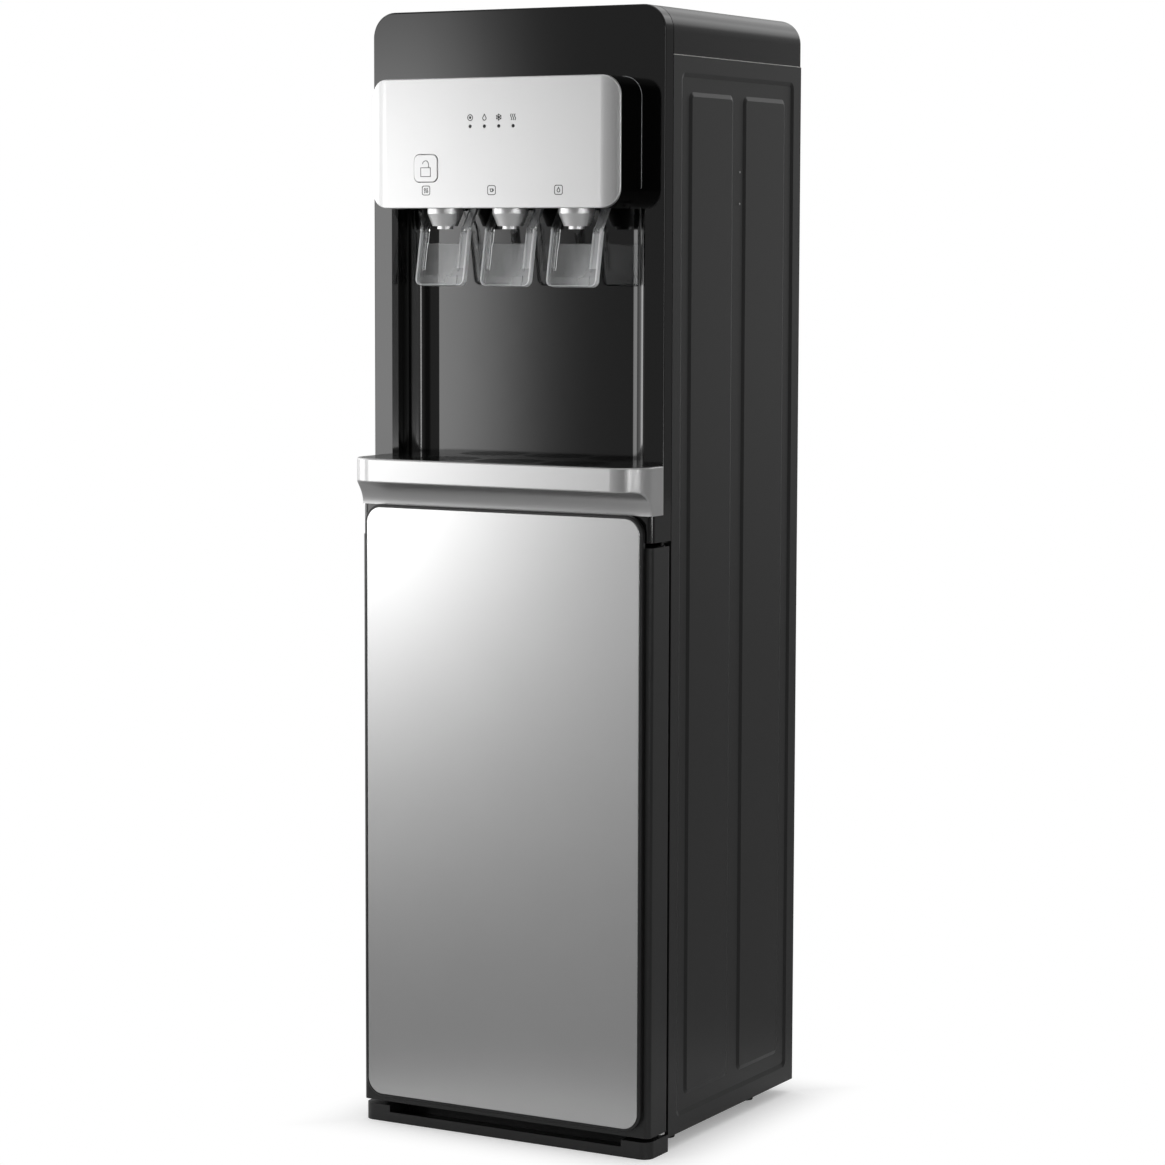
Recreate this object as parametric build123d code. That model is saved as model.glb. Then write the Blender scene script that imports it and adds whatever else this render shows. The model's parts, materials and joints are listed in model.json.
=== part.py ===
from build123d import *
import os
from math import atan2, degrees, hypot

# Free-standing bottom-loading water cooler, in millimetres.
# +Z is up, -Y is the front, +X is the viewer's right. The origin is on the floor under the middle of the
# whole outline. A depth is measured backwards from the face of the front bezel.

# Overall sizes
WIDTH = 310.0
HEIGHT = 1050.0
BODY_DEPTH = 278.0
TRAY_REACH = 50.0
REAR_REACH = 22.0

# Stock and clearances
SHEET = 1.0
WALL = 2.5
RUNNING_GAP = 0.3
FIT_GAP = 0.1
SEAM = 1.0

# Cabinet
FOOT_HEIGHT = 14.0
FOOT_RADIUS = 10.0
FOOT_TAPER = 2.0
FOOT_INSET = 27.5
FRONT_FOOT_DEPTH = 64.0
REAR_FOOT_DEPTH = 228.0
BASE_HEIGHT = 12.0
BASE_RIB = 4.0
BOTTLE_DIAMETER = 270.0
BOTTLE_GAP = 3.0
RAIL_HEIGHT = 6.0
PLINTH_HEIGHT = 16.0
PLINTH_RADIUS = 10.0
SLOT_WIDTH = 252.0
SLOT_DEPTH = 6.5
PANEL_BOTTOM = 13.0
COVER_HEIGHT = 44.0
FLANGE = 13.0
EMBOSS_DEPTH = 1.5
EMBOSS_MARGIN = 15.6
EMBOSS_SLOPE = 4.0
EMBOSS_RADIUS = 7.0
RAISED_MARGIN = 17.0
RAISED_SPACING = 20.6
COVER_RADIUS = 23.0
COVER_EDGE = 2.2
SHELF_DROP = 20.0
SHELF_FLANGE = 17.0

# Front bezel and cup niche
BEZEL_DEPTH = 15.0
BEZEL_WALL = 4.5
BEZEL_EDGE = 1.5
SKIRT_HEIGHT = 24.3
NICHE_WIDTH = 262.0
NICHE_EDGE = 4.0
NICHE_DEPTH = 35.0
NICHE_HEIGHT = 231.5
NICHE_CORNER = 3.0
NICHE_BACK_RADIUS = 26.5
HEAD_WINDOW_MARGIN = 11.0

# Tray
TRAY_HEIGHT = 44.5
TRAY_RADIUS = 28.0
TRAY_RIM = 4.5
LIP_EDGE = 1.6
COVE_RADIUS = 22.0
COVE_BOTTOM_DEPTH = -21.4
TUB_SEAT = 19.5
TUB_WALL = 2.0
GRILLE_THICKNESS = 3.0
GRILLE_SLOT = 3.4
GRILLE_PITCH = 7.0
CUP_ZONE = 66.0

# Dispensing head
HEAD_HEIGHT = 118.0
HEAD_TOP_GAP = 64.0
HEAD_REACH = 43.5
HEAD_RADIUS = 18.0
FACE_THICKNESS = 6.0
FACE_ROLL = 18.0
FACE_ROLL_DROP = 4.8
FACE_EDGE = 0.9
BUTTON_SIZE = 25.0
BUTTON_RADIUS = 5.5
BUTTON_GAP = 0.5
BUTTON_RISE = 36.5
BUTTON_PROUD = 0.8
BUTTON_EDGE = 0.6
LAMP_DIAMETER = 3.2
LAMP_PITCH = 15.1
LAMP_RISE = 74.0
BOARD_WIDTH = 150.0
BOARD_HEIGHT = 66.0
BOARD_THICKNESS = 1.6
BOARD_STANDOFF = 6.5
CHIP_SIZE = 16.0
CHIP_HEIGHT = 5.0

# Taps and levers
TAP_PITCH = 70.0
TAP_DEPTH = -10.0
NOZZLE_RADIUS = 16.4
NOZZLE_TIP_RADIUS = 11.6
NOZZLE_OUTLET_RADIUS = 7.4
NOZZLE_BORE = 4.0
NOZZLE_BAND = 4.6
NOZZLE_DROP = 16.0
NOZZLE_OUTLET = 2.7
SPIGOT_RADIUS = 9.0
VALVE_RADIUS = 14.0
VALVE_HEIGHT = 30.0
BARB_RADIUS = 4.0
CARRIER_THICKNESS = 3.0
PIVOT_DEPTH = 10.0
PIVOT_RISE = 8.0
PIN_RADIUS = 1.5
HUB_RADIUS = 4.5
EAR_THICKNESS = 3.0
MICROSWITCH_WIDTH = 6.0
MICROSWITCH_HEIGHT = 9.0
LEVER_WIDTH = 52.5
LEVER_ARM = 7.5
LEVER_WALL = 2.6
LEVER_RIB = 1.5
LEVER_RIB_DEPTH = 6.5
LEVER_RIM = 4.0
LEVER_DROP = 70.5
LEVER_PLATE = 39.0
LEVER_CORNER = 6.0
LEVER_LIP = 9.0
LEVER_LIP_INSET = 7.2
LEVER_RIB_END = 16.0
KNEE_DEPTH = -10.0
KNEE_DROP = 20.0
TOE_DEPTH = -20.0

# Door
DOOR_FACE_DEPTH = -22.0
DOOR_FLOOR_GAP = 4.0
DOOR_TOP_GAP = 4.6
DOOR_BACK_GAP = 1.5
DOOR_WALL = 3.0
DOOR_FRONT_RADIUS = 5.0
DOOR_REAR_RADIUS = 3.5
SKIRT_RADIUS = 6.0
SLAB_INSET = 6.5
SLAB_THICKNESS = 6.0
SLAB_RADIUS = 18.0
SLAB_BOTTOM_RISE = 5.5
SLAB_OVERLAP = 0.5
BEAD = 2.5
BEAD_RADIUS = 1.5
PANEL_THICKNESS = 1.0
PANEL_PROUD = 0.3
PANEL_EDGE = 0.8
LINER_WALL = 2.0
DISH_MARGIN = 45.0
DISH_TOP_MARGIN = 28.0
DISH_FLANGE = 0.5
DISH_RADIUS = 22.0
DISH_SLOPE = 4.0
HINGE_INSET = 6.0
HINGE_DEPTH = 8.5
HINGE_PIN_RADIUS = 2.5
HINGE_PIN_LENGTH = 14.0
HINGE_PLATE = 1.6
BUSH_RADIUS = 4.0
BUSH_FLANGE = 1.5
BUSH_GAP = 0.2
CATCH_WIDTH = 40.0
CATCH_HEIGHT = 12.0

# Water circuit and cooling
COMPRESSOR_RADIUS = 58.0
COMPRESSOR_HEIGHT = 140.0
COMPRESSOR_WALL = 10.0
COMPRESSOR_CHAMFER = 20.0
TERMINAL_BOX_REACH = 16.0
TERMINAL_BOX_WIDTH = 36.0
TERMINAL_BOX_HEIGHT = 42.0
GROMMET_HEIGHT = 10.0
GROMMET_RADIUS = 9.0
TANK_WALL = 1.0
HOT_TANK_RADIUS = 44.0
HOT_TANK_HEIGHT = 120.0
HOT_TANK_CHAMFER = 11.0
HOT_STAND_HEIGHT = 60.0
COLD_TANK_RADIUS = 68.0
COLD_TANK_HEIGHT = 165.0
JACKET_WALL = 18.0
BRIDGE_CLEARANCE = 17.0
BRIDGE_FLANGE = 20.0
HOSE_RADIUS = 6.0
HOSE_BEND = 14.0
PUMP_RADIUS = 20.0
PUMP_LENGTH = 80.0
PROBE_TUBE_RADIUS = 5.0
PROBE_FLOOR_GAP = 78.0
PROBE_CAP_RADIUS = 27.0
PROBE_CAP_HEIGHT = 20.0
PROBE_INSET = 36.0
HANGER_DROP = 38.0

# Back
TUBE_RADIUS = 2.5
COIL_PASSES = 7
COIL_PITCH = 50.0
COIL_STRAIGHT = 220.0
COIL_RISE = 52.0
WIRE = 1.6
WIRE_COUNT = 27
WIRE_PITCH = 6.8
WIRE_OVERHANG = 14.0
CLIP_WIDTH = 8.0
CLIP_HEIGHT = 16.0
VENT_WIDTH = 70.0
VENT_HEIGHT = 5.0
VENT_PITCH = 13.0
VENT_ROWS = 7
SWITCH_WIDTH = 14.0
SWITCH_HEIGHT = 26.0
SWITCH_PITCH = 24.0
SWITCH_RIM = 5.0
SWITCH_BOX_DEPTH = 18.0
SWITCH_THROW = 16.0
ROCKER_GAP = 0.5
ROCKER_PROUD = 1.5
ROCKER_DISH = 2.0
ROCKER_TAIL = 3.0
ROCKER_END_GAP = 3.8
FITTING_RISE = 20.0
GLAND_RADIUS = 11.0
GLAND_BORE = 4.0
DRAIN_RADIUS = 11.0
SCREW_RADIUS = 3.5
SCREW_HEAD = 1.8
SCREW_ROWS = 5

# Places worked out from those sizes
half = WIDTH / 2
face = TRAY_REACH - (TRAY_REACH + BODY_DEPTH + REAR_REACH) / 2
rear = face + BODY_DEPTH
rear_limit = rear + REAR_REACH
panel_front = face + BEZEL_DEPTH + SEAM
panel_inside = half - SHEET
shell_inside = half - SHEET - EMBOSS_DEPTH - FIT_GAP
back_sheet_front = rear - 2 * SHEET
base_top = FOOT_HEIGHT + BASE_HEIGHT
niche_half = NICHE_WIDTH / 2
panel_top = HEIGHT - COVER_HEIGHT
head_top = HEIGHT - HEAD_TOP_GAP
niche_top = head_top - HEAD_HEIGHT
tray_top = niche_top - NICHE_HEIGHT
tray_bottom = tray_top - TRAY_HEIGHT
tub_floor = tray_top - TUB_SEAT
skirt_bottom = tray_bottom - SKIRT_HEIGHT
face_back = face - HEAD_REACH + FACE_THICKNESS
tap_xs = {"left": -TAP_PITCH, "middle": 0.0, "right": TAP_PITCH}
tap_y = face + TAP_DEPTH
carrier_bottom = niche_top + max(HEAD_RADIUS, PIVOT_RISE + HUB_RADIUS + WALL)
carrier_top = carrier_bottom + CARRIER_THICKNESS
barb_z = carrier_top + VALVE_HEIGHT / 3
pivot = (face + PIVOT_DEPTH, niche_top + PIVOT_RISE)
knee = (face + KNEE_DEPTH, niche_top - KNEE_DROP)
toe = (face + TOE_DEPTH, niche_top - LEVER_DROP)
door_face = face + DOOR_FACE_DEPTH
door_rear = panel_front - DOOR_BACK_GAP
door_bottom = PLINTH_HEIGHT + DOOR_FLOOR_GAP
door_top = skirt_bottom - DOOR_TOP_GAP
slab_face = door_face - SLAB_THICKNESS
slab_half = half - SLAB_INSET
slab_bottom = door_bottom + SLAB_BOTTOM_RISE
slab_top = tray_bottom + SLAB_OVERLAP
hinge_x = half - HINGE_INSET
hinge_y = face + HINGE_DEPTH
shelf_bottom = tray_bottom - SHELF_DROP
shelf_top = shelf_bottom + SHEET
bridge_bottom = shelf_top + HOT_STAND_HEIGHT + HOT_TANK_HEIGHT + BRIDGE_CLEARANCE
coil_y = rear_limit - TUBE_RADIUS - 2 * WIRE
coil_bottom = shelf_top + COIL_RISE
coil_top = coil_bottom + (COIL_PASSES - 1) * COIL_PITCH
fitting_z = shelf_top + FITTING_RISE
switch_z = (coil_top + COIL_PITCH / 2 + panel_top) / 2


def block(x0, x1, y0, y1, z0, z1):
    """A box between six planes."""
    return Pos((x0 + x1) / 2, (y0 + y1) / 2, (z0 + z1) / 2) * Box(x1 - x0, y1 - y0, z1 - z0)


def upright(x, y, z0, z1, radius):
    """A vertical round bar."""
    return Pos(x, y, (z0 + z1) / 2) * Cylinder(radius, z1 - z0)


def across(x0, x1, y, z, radius):
    """A round bar along X."""
    return Pos((x0 + x1) / 2, y, z) * Rot(0, 90, 0) * Cylinder(radius, x1 - x0)


def inward(x, y0, y1, z, radius):
    """A round bar along Y."""
    return Pos(x, (y0 + y1) / 2, z) * Rot(90, 0, 0) * Cylinder(radius, y1 - y0)


def upright_slab(width, z0, z1, radius, y0, y1, x=0.0):
    """A plate facing the front, with four round corners."""
    outline = Pos(x, (z0 + z1) / 2) * RectangleRounded(width, z1 - z0, radius)
    return extrude(Plane.XZ.offset(-y1) * outline, y1 - y0)


def arch_slab(half_width, z0, z1, radius, y0, y1):
    """A plate facing the front, with round corners at its top only."""
    outline = Pos(0, (z0 + z1) / 2) * Rectangle(2 * half_width, z1 - z0)
    outline = fillet(outline.vertices().group_by(Axis.Y)[-1], radius)
    return extrude(Plane.XZ.offset(-y1) * outline, y1 - y0)


def plan_slab(half_width, y0, y1, front_radius, rear_radius, z0, z1):
    """A plate seen from above, with its own radius on the front and on the rear corners."""
    outline = Pos(0, (y0 + y1) / 2) * Rectangle(2 * half_width, y1 - y0)
    outline = fillet(outline.vertices().group_by(Axis.Y)[0], front_radius)
    if rear_radius:
        outline = fillet(outline.vertices().group_by(Axis.Y)[-1], rear_radius)
    return extrude(Plane.XY.offset(z0) * outline, z1 - z0)


def side_frustum(y0, y1, z0, z1, radius, slope, x0, x1):
    """A pressing in a side panel: a rounded rectangle at x0 that narrows by its slope towards x1."""
    middle = Pos((y0 + y1) / 2, (z0 + z1) / 2)
    wide = Plane.YZ.offset(x0) * middle * RectangleRounded(y1 - y0, z1 - z0, radius)
    narrow = Plane.YZ.offset(x1) * middle * RectangleRounded(
        y1 - y0 - 2 * slope, z1 - z0 - 2 * slope, radius - slope
    )
    return loft([wide, narrow], ruled=True)


def limb(p, q, depth, x0, x1):
    """A bar with round ends between two points of the YZ plane, as thick as its depth."""
    length = hypot(q[0] - p[0], q[1] - p[1])
    angle = degrees(atan2(q[1] - p[1], q[0] - p[0]))
    slot = Pos((p[0] + q[0]) / 2, (p[1] + q[1]) / 2) * Rot(0, 0, angle) * SlotCenterToCenter(length, depth)
    return extrude(Plane.YZ.offset(x0) * slot, x1 - x0)


def is_upright(edge):
    """True for a straight edge that runs along Z."""
    size = edge.bounding_box().size
    return size.X < FIT_GAP and size.Y < FIT_GAP


# Cabinet
def make_base_pan():
    side = panel_inside - FIT_GAP
    front = panel_front + SHEET + FIT_GAP
    back = back_sheet_front - FIT_GAP
    pan = block(-side, side, front, back, FOOT_HEIGHT, base_top)
    pocket_x = half - 2 * FOOT_INSET - FOOT_RADIUS
    middle = (front + back) / 2
    for x0, x1 in ((-pocket_x, -BASE_RIB / 2), (BASE_RIB / 2, pocket_x)):
        for y0, y1 in ((front + BASE_RIB, middle - BASE_RIB / 2), (middle + BASE_RIB / 2, back - BASE_RIB)):
            pan -= block(x0, x1, y0, y1, FOOT_HEIGHT, base_top - WALL)
    rail_x = BOTTLE_DIAMETER / 2 + BOTTLE_GAP
    for s in (-1, 1):
        rail = block(min(s * rail_x, s * (rail_x + WALL)), max(s * rail_x, s * (rail_x + WALL)),
                     front + FLANGE, back - FLANGE, base_top, base_top + RAIL_HEIGHT)
        pan += rail
    return pan


def make_feet():
    feet = []
    for x in (-half + FOOT_INSET, half - FOOT_INSET):
        for depth in (FRONT_FOOT_DEPTH, REAR_FOOT_DEPTH):
            foot = Cone(FOOT_RADIUS - FOOT_TAPER, FOOT_RADIUS, FOOT_HEIGHT)
            feet.append(Pos(x, face + depth, FOOT_HEIGHT / 2) * foot)
    return Compound(feet)


def make_plinth():
    """A trough with a low front wall between two hollow ends."""
    back = panel_front - FIT_GAP
    front_inside = door_face + DOOR_WALL
    back_inside = back - DOOR_WALL
    plinth = plan_slab(half, door_face, back, PLINTH_RADIUS, 0, 0, PLINTH_HEIGHT)
    slot = SLOT_WIDTH / 2
    plinth -= block(-slot, slot, front_inside, back_inside, DOOR_WALL, PLINTH_HEIGHT)
    plinth -= block(-slot, slot, door_face, front_inside, PLINTH_HEIGHT - SLOT_DEPTH, PLINTH_HEIGHT)
    hollow = plan_slab(half - DOOR_WALL, front_inside, back_inside, PLINTH_RADIUS - DOOR_WALL, 0,
                       0, PLINTH_HEIGHT - DOOR_WALL)
    middle = slot + DOOR_WALL
    return plinth - (hollow - block(-middle, middle, front_inside, back_inside, 0, PLINTH_HEIGHT))


def make_side_panel():
    """The right panel: one pressed sheet with a wide shallow field and two raised fields in it."""
    outer = block(half - FLANGE, half, panel_front, rear, PANEL_BOTTOM, panel_top - SEAM / 2)
    field = (panel_front + EMBOSS_MARGIN, rear - EMBOSS_MARGIN,
             max(PANEL_BOTTOM + EMBOSS_MARGIN, base_top + SHEET), panel_top - EMBOSS_MARGIN)
    outer -= side_frustum(*field, EMBOSS_RADIUS, EMBOSS_SLOPE, half, half - EMBOSS_DEPTH)
    middle = (field[0] + field[1]) / 2
    spans = ((field[0] + RAISED_MARGIN, middle - RAISED_SPACING / 2),
             (middle + RAISED_SPACING / 2, field[1] - RAISED_MARGIN))
    for y0, y1 in spans:
        outer += side_frustum(y0, y1, field[2] + RAISED_MARGIN, field[3] - RAISED_MARGIN,
                              EMBOSS_RADIUS, EMBOSS_SLOPE, half - EMBOSS_DEPTH, half)
    sheet = outer - Pos(-SHEET, 0, 0) * outer
    top = panel_top - SEAM / 2
    sheet += block(half - FLANGE, half, panel_front, panel_front + SHEET, PANEL_BOTTOM, top)
    sheet += block(half - FLANGE, half, rear - SHEET, rear, PANEL_BOTTOM, top)
    return sheet


def make_rear_panel():
    side = panel_inside - FIT_GAP
    sheet = block(-side, side, back_sheet_front, rear - SHEET, base_top, panel_top - SEAM / 2)
    for row in range(VENT_ROWS):
        z = bridge_bottom + BRIDGE_FLANGE + row * VENT_PITCH
        for x in (-VENT_WIDTH * 0.6, VENT_WIDTH * 0.6):
            sheet -= block(x - VENT_WIDTH / 2, x + VENT_WIDTH / 2, back_sheet_front, rear, z, z + VENT_HEIGHT)
    for x in switch_xs():
        sheet -= block(x - SWITCH_WIDTH / 2 - WALL - FIT_GAP, x + SWITCH_WIDTH / 2 + WALL + FIT_GAP,
                       back_sheet_front, rear, switch_z - SWITCH_HEIGHT / 2 - WALL - FIT_GAP,
                       switch_z + SWITCH_HEIGHT / 2 + WALL + FIT_GAP)
    for x in fitting_xs():
        sheet -= inward(x, back_sheet_front, rear, fitting_z, HOSE_RADIUS + FIT_GAP)
    return sheet


def make_top_cover():
    cover = arch_slab(half, panel_top, HEIGHT, COVER_RADIUS, panel_front, rear)
    cover -= arch_slab(half - WALL, panel_top, HEIGHT - WALL, COVER_RADIUS - WALL, panel_front, rear - WALL)
    rear_rim = cover.edges().filter_by(
        lambda e: abs(e.center().Y - rear) < FIT_GAP and e.center().Z > panel_top + WALL)
    return fillet(rear_rim, COVER_EDGE)


def make_front_bezel():
    bezel = arch_slab(half, skirt_bottom, HEIGHT, COVER_RADIUS, face, face + BEZEL_DEPTH)
    skirt_face = door_face + RUNNING_GAP + SLAB_OVERLAP
    bezel += plan_slab(half, skirt_face, face + BEZEL_DEPTH, SKIRT_RADIUS, 0, skirt_bottom, tray_bottom)
    bezel -= arch_slab(half - WALL, skirt_bottom + WALL, HEIGHT - WALL, COVER_RADIUS - WALL,
                       face + BEZEL_WALL, face + BEZEL_DEPTH)
    bezel -= block(-half + SKIRT_RADIUS, half - SKIRT_RADIUS, skirt_face + WALL, face + BEZEL_DEPTH,
                   skirt_bottom + WALL, tray_bottom - WALL)
    mouth = make_face(Polyline(
        (-niche_half - NICHE_EDGE, face), (niche_half + NICHE_EDGE, face),
        (niche_half, face + BEZEL_WALL), (-niche_half, face + BEZEL_WALL), close=True))
    bezel -= extrude(Plane.XY.offset(tub_floor) * mouth, niche_top - tub_floor)
    window = niche_half - HEAD_WINDOW_MARGIN
    bezel -= block(-window, window, face, face + BEZEL_WALL, niche_top, head_top - HEAD_WINDOW_MARGIN)
    rim = bezel.edges().filter_by(lambda e: abs(e.center().Y - face) < FIT_GAP and on_bezel_outline(e))
    return fillet(rim, BEZEL_EDGE)


def on_bezel_outline(edge):
    """True for an edge of the bezel's outer outline above the tray."""
    box = edge.bounding_box()
    at_side = abs(box.center().X) > half - FIT_GAP
    at_top = box.min.Z > HEIGHT - COVER_RADIUS - FIT_GAP
    return box.max.Y < face + FIT_GAP and (at_side or at_top)


def make_niche_liner():
    front = face + BEZEL_WALL
    back = face + NICHE_DEPTH
    side = niche_half + WALL
    outer = plan_slab(side, front, back + WALL, NICHE_CORNER / 2, NICHE_BACK_RADIUS + WALL,
                      tub_floor - WALL, niche_top + WALL)
    liner = outer - plan_slab(niche_half, front - NICHE_CORNER, back, NICHE_CORNER / 2, NICHE_BACK_RADIUS,
                              tub_floor, niche_top)
    slot = LEVER_WIDTH / 2 + EAR_THICKNESS
    for x in tap_xs.values():
        liner -= block(x - slot, x + slot, front, back - WALL - NICHE_CORNER, niche_top, niche_top + WALL)
    return liner


def make_tray_surround():
    tip = face - TRAY_REACH
    tray = plan_slab(half, tip, face, TRAY_RADIUS, 0, tray_bottom, tray_top)
    cove_y = face + COVE_BOTTOM_DEPTH - COVE_RADIUS
    lip_bottom = tray_bottom + COVE_RADIUS
    tray -= block(-half, half, tip, cove_y, tray_bottom, lip_bottom)
    tray -= across(-half, half, cove_y, tray_bottom, COVE_RADIUS)
    tray -= plan_slab(half - TRAY_RIM, tip + TRAY_RIM, face, TRAY_RADIUS - TRAY_RIM, 0, tub_floor, tray_top)
    tray -= block(-half + TRAY_RIM, half - TRAY_RIM, face + COVE_BOTTOM_DEPTH + WALL, face,
                  tray_bottom + WALL, tub_floor - WALL)
    rim = tray.edges().filter_by(lambda e: e.bounding_box().min.Z > tray_top - FIT_GAP and on_tray_outline(e))
    tray = fillet(rim, LIP_EDGE)
    lip = tray.edges().filter_by(lambda e: abs(e.center().Z - lip_bottom) < FIT_GAP and on_tray_outline(e))
    return fillet(lip, LIP_EDGE)


def on_tray_outline(edge):
    """True for an edge on the outer round-cornered outline of the tray, away from the bezel."""
    box = edge.bounding_box()
    tip = face - TRAY_REACH
    at_tip = box.max.Y < tip + FIT_GAP
    at_side = abs(box.center().X) > half - FIT_GAP
    at_corner = abs(box.center().X) > half - TRAY_RADIUS and box.size.X > TRAY_RADIUS / 2
    return at_tip or at_side or (at_corner and box.min.Y < tip + FIT_GAP)


def tub_outline(inset):
    """The tub from above: a wide round-cornered front and a narrower back that enters the niche."""
    front = face - TRAY_REACH + TRAY_RIM + inset
    wide_back = face - inset
    wide = Pos(0, (front + wide_back) / 2) * Rectangle(WIDTH - 2 * TRAY_RIM - 2 * inset, wide_back - front)
    wide = fillet(wide.vertices().group_by(Axis.Y)[0], TRAY_RADIUS - TRAY_RIM - inset)
    back = face + NICHE_DEPTH - inset
    narrow = Pos(0, (front + back) / 2 + TRAY_RADIUS / 2) * Rectangle(
        NICHE_WIDTH - 2 * inset, back - front - TRAY_RADIUS)
    narrow = fillet(narrow.vertices().group_by(Axis.Y)[-1], NICHE_BACK_RADIUS - inset)
    return wide + narrow


def make_drip_tub():
    bottom = tub_floor + RUNNING_GAP
    top = tray_top - GRILLE_THICKNESS - RUNNING_GAP
    inset = 2 * RUNNING_GAP
    tub = extrude(Plane.XY.offset(bottom) * tub_outline(inset), top - bottom)
    tub -= extrude(Plane.XY.offset(bottom + TUB_WALL) * tub_outline(inset + TUB_WALL), top - bottom)
    return tub


def make_drip_grille():
    underside = Plane.XY.offset(tray_top - GRILLE_THICKNESS)
    grille = extrude(underside * tub_outline(2 * RUNNING_GAP), GRILLE_THICKNESS)
    count = int(CUP_ZONE / 2 / GRILLE_PITCH)
    for x in tap_xs.values():
        for i in range(-count, count + 1):
            reach = ((CUP_ZONE / 2) ** 2 - (i * GRILLE_PITCH) ** 2) ** 0.5
            slot_x = x + i * GRILLE_PITCH
            grille -= block(slot_x - GRILLE_SLOT / 2, slot_x + GRILLE_SLOT / 2, tap_y - reach, tap_y + reach,
                            tray_top - GRILLE_THICKNESS, tray_top)
    return grille


# Dispensing head
def make_head_housing():
    inside = niche_half - WALL
    housing = upright_slab(NICHE_WIDTH, niche_top, head_top, HEAD_RADIUS, face_back, face)
    housing -= upright_slab(2 * inside, niche_top + WALL, head_top - WALL, HEAD_RADIUS - WALL,
                            face_back, face)
    for x in tap_xs.values():
        housing -= upright(x, tap_y, niche_top, niche_top + WALL, NOZZLE_RADIUS + BUTTON_GAP)
    return housing


def board_posts():
    """Places of the four posts that carry the control board."""
    middle = (carrier_top + head_top - WALL) / 2
    return [(x, middle + dz) for x in (-BOARD_WIDTH * 0.3, BOARD_WIDTH * 0.3)
            for dz in (-BOARD_HEIGHT * 0.43, BOARD_HEIGHT * 0.43)]


def lamp_xs():
    return [(i - 1.5) * LAMP_PITCH for i in range(4)]


def make_faceplate():
    front = face - HEAD_REACH
    plate = upright_slab(NICHE_WIDTH, niche_top, head_top, HEAD_RADIUS, front, face_back)
    flat = niche_half - FACE_ROLL
    roll_y = front + FACE_ROLL_DROP
    outline = [
        Line((-flat, front), (flat, front)),
        TangentArc((flat, front), (niche_half, roll_y), tangent=(1, 0)),
        Polyline((niche_half, roll_y), (niche_half, face_back),
                 (-niche_half, face_back), (-niche_half, roll_y)),
        TangentArc((-flat, front), (-niche_half, roll_y), tangent=(-1, 0)),
    ]
    plate &= extrude(Plane.XY.offset(niche_top) * make_face(outline), HEAD_HEIGHT)
    front_rim = plate.edges().filter_by(
        lambda e: e.bounding_box().max.Y < roll_y + FIT_GAP and not is_upright(e))
    plate = fillet(front_rim, FACE_EDGE)
    button_x = tap_xs["left"]
    button_z = niche_top + BUTTON_RISE
    opening = BUTTON_SIZE + 2 * BUTTON_GAP
    plate -= upright_slab(opening, button_z - opening / 2, button_z + opening / 2, BUTTON_RADIUS + BUTTON_GAP,
                          front, face_back, button_x)
    for x in lamp_xs():
        plate -= inward(x, front, face_back, niche_top + LAMP_RISE, LAMP_DIAMETER / 2 + FIT_GAP)
    for x, z in board_posts():
        plate += inward(x, face_back, face_back + BOARD_STANDOFF, z, WALL)
    return plate


def make_lock_button():
    x = tap_xs["left"]
    z = niche_top + BUTTON_RISE
    front = face - HEAD_REACH - BUTTON_PROUD
    half_cap = BUTTON_SIZE / 2
    cap_back = face_back + RUNNING_GAP
    cap = upright_slab(BUTTON_SIZE, z - half_cap, z + half_cap, BUTTON_RADIUS, front, cap_back, x)
    cap = fillet(cap.edges().filter_by(lambda e: abs(e.center().Y - front) < FIT_GAP), BUTTON_EDGE)
    flange_half = half_cap + BUTTON_GAP + WALL / 2
    cap += upright_slab(2 * flange_half, z - flange_half, z + flange_half, BUTTON_RADIUS,
                        cap_back, face_back + WALL / 2, x)
    return cap


def make_indicator_lamps():
    board_front = face_back + BOARD_STANDOFF
    return Compound([inward(x, face - HEAD_REACH, board_front, niche_top + LAMP_RISE, LAMP_DIAMETER / 2)
                     for x in lamp_xs()])


def make_control_board():
    front = face_back + BOARD_STANDOFF
    back = front + BOARD_THICKNESS
    middle = (carrier_top + head_top - WALL) / 2
    board = block(-BOARD_WIDTH / 2, BOARD_WIDTH / 2, front, back,
                  middle - BOARD_HEIGHT / 2, middle + BOARD_HEIGHT / 2)
    for i in range(3):
        x = (i - 1) * BOARD_WIDTH / 4
        board += block(x - CHIP_SIZE / 2, x + CHIP_SIZE / 2, back, back + CHIP_HEIGHT,
                       middle, middle + CHIP_SIZE)
    return board


# Taps
def make_nozzle(x):
    outlet = niche_top - NOZZLE_DROP
    tip = outlet - NOZZLE_OUTLET
    band_bottom = niche_top - NOZZLE_BAND
    spigot_top = carrier_top
    profile = make_face(Polyline(
        (NOZZLE_BORE, tip), (NOZZLE_OUTLET_RADIUS, tip), (NOZZLE_OUTLET_RADIUS, outlet),
        (NOZZLE_TIP_RADIUS, outlet), (NOZZLE_RADIUS, band_bottom), (NOZZLE_RADIUS, niche_top + WALL),
        (SPIGOT_RADIUS, niche_top + WALL), (SPIGOT_RADIUS, spigot_top), (NOZZLE_BORE, spigot_top),
        close=True))
    return Pos(x, tap_y, 0) * revolve(Plane.XZ * profile, Axis.Z)


def make_tap_valves():
    valves = []
    for x in tap_xs.values():
        valve = upright(x, tap_y, carrier_top, carrier_top + VALVE_HEIGHT, VALVE_RADIUS)
        valve += inward(x, tap_y, face + NICHE_DEPTH, barb_z, BARB_RADIUS)
        valves.append(valve)
    return Compound(valves)


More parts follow.
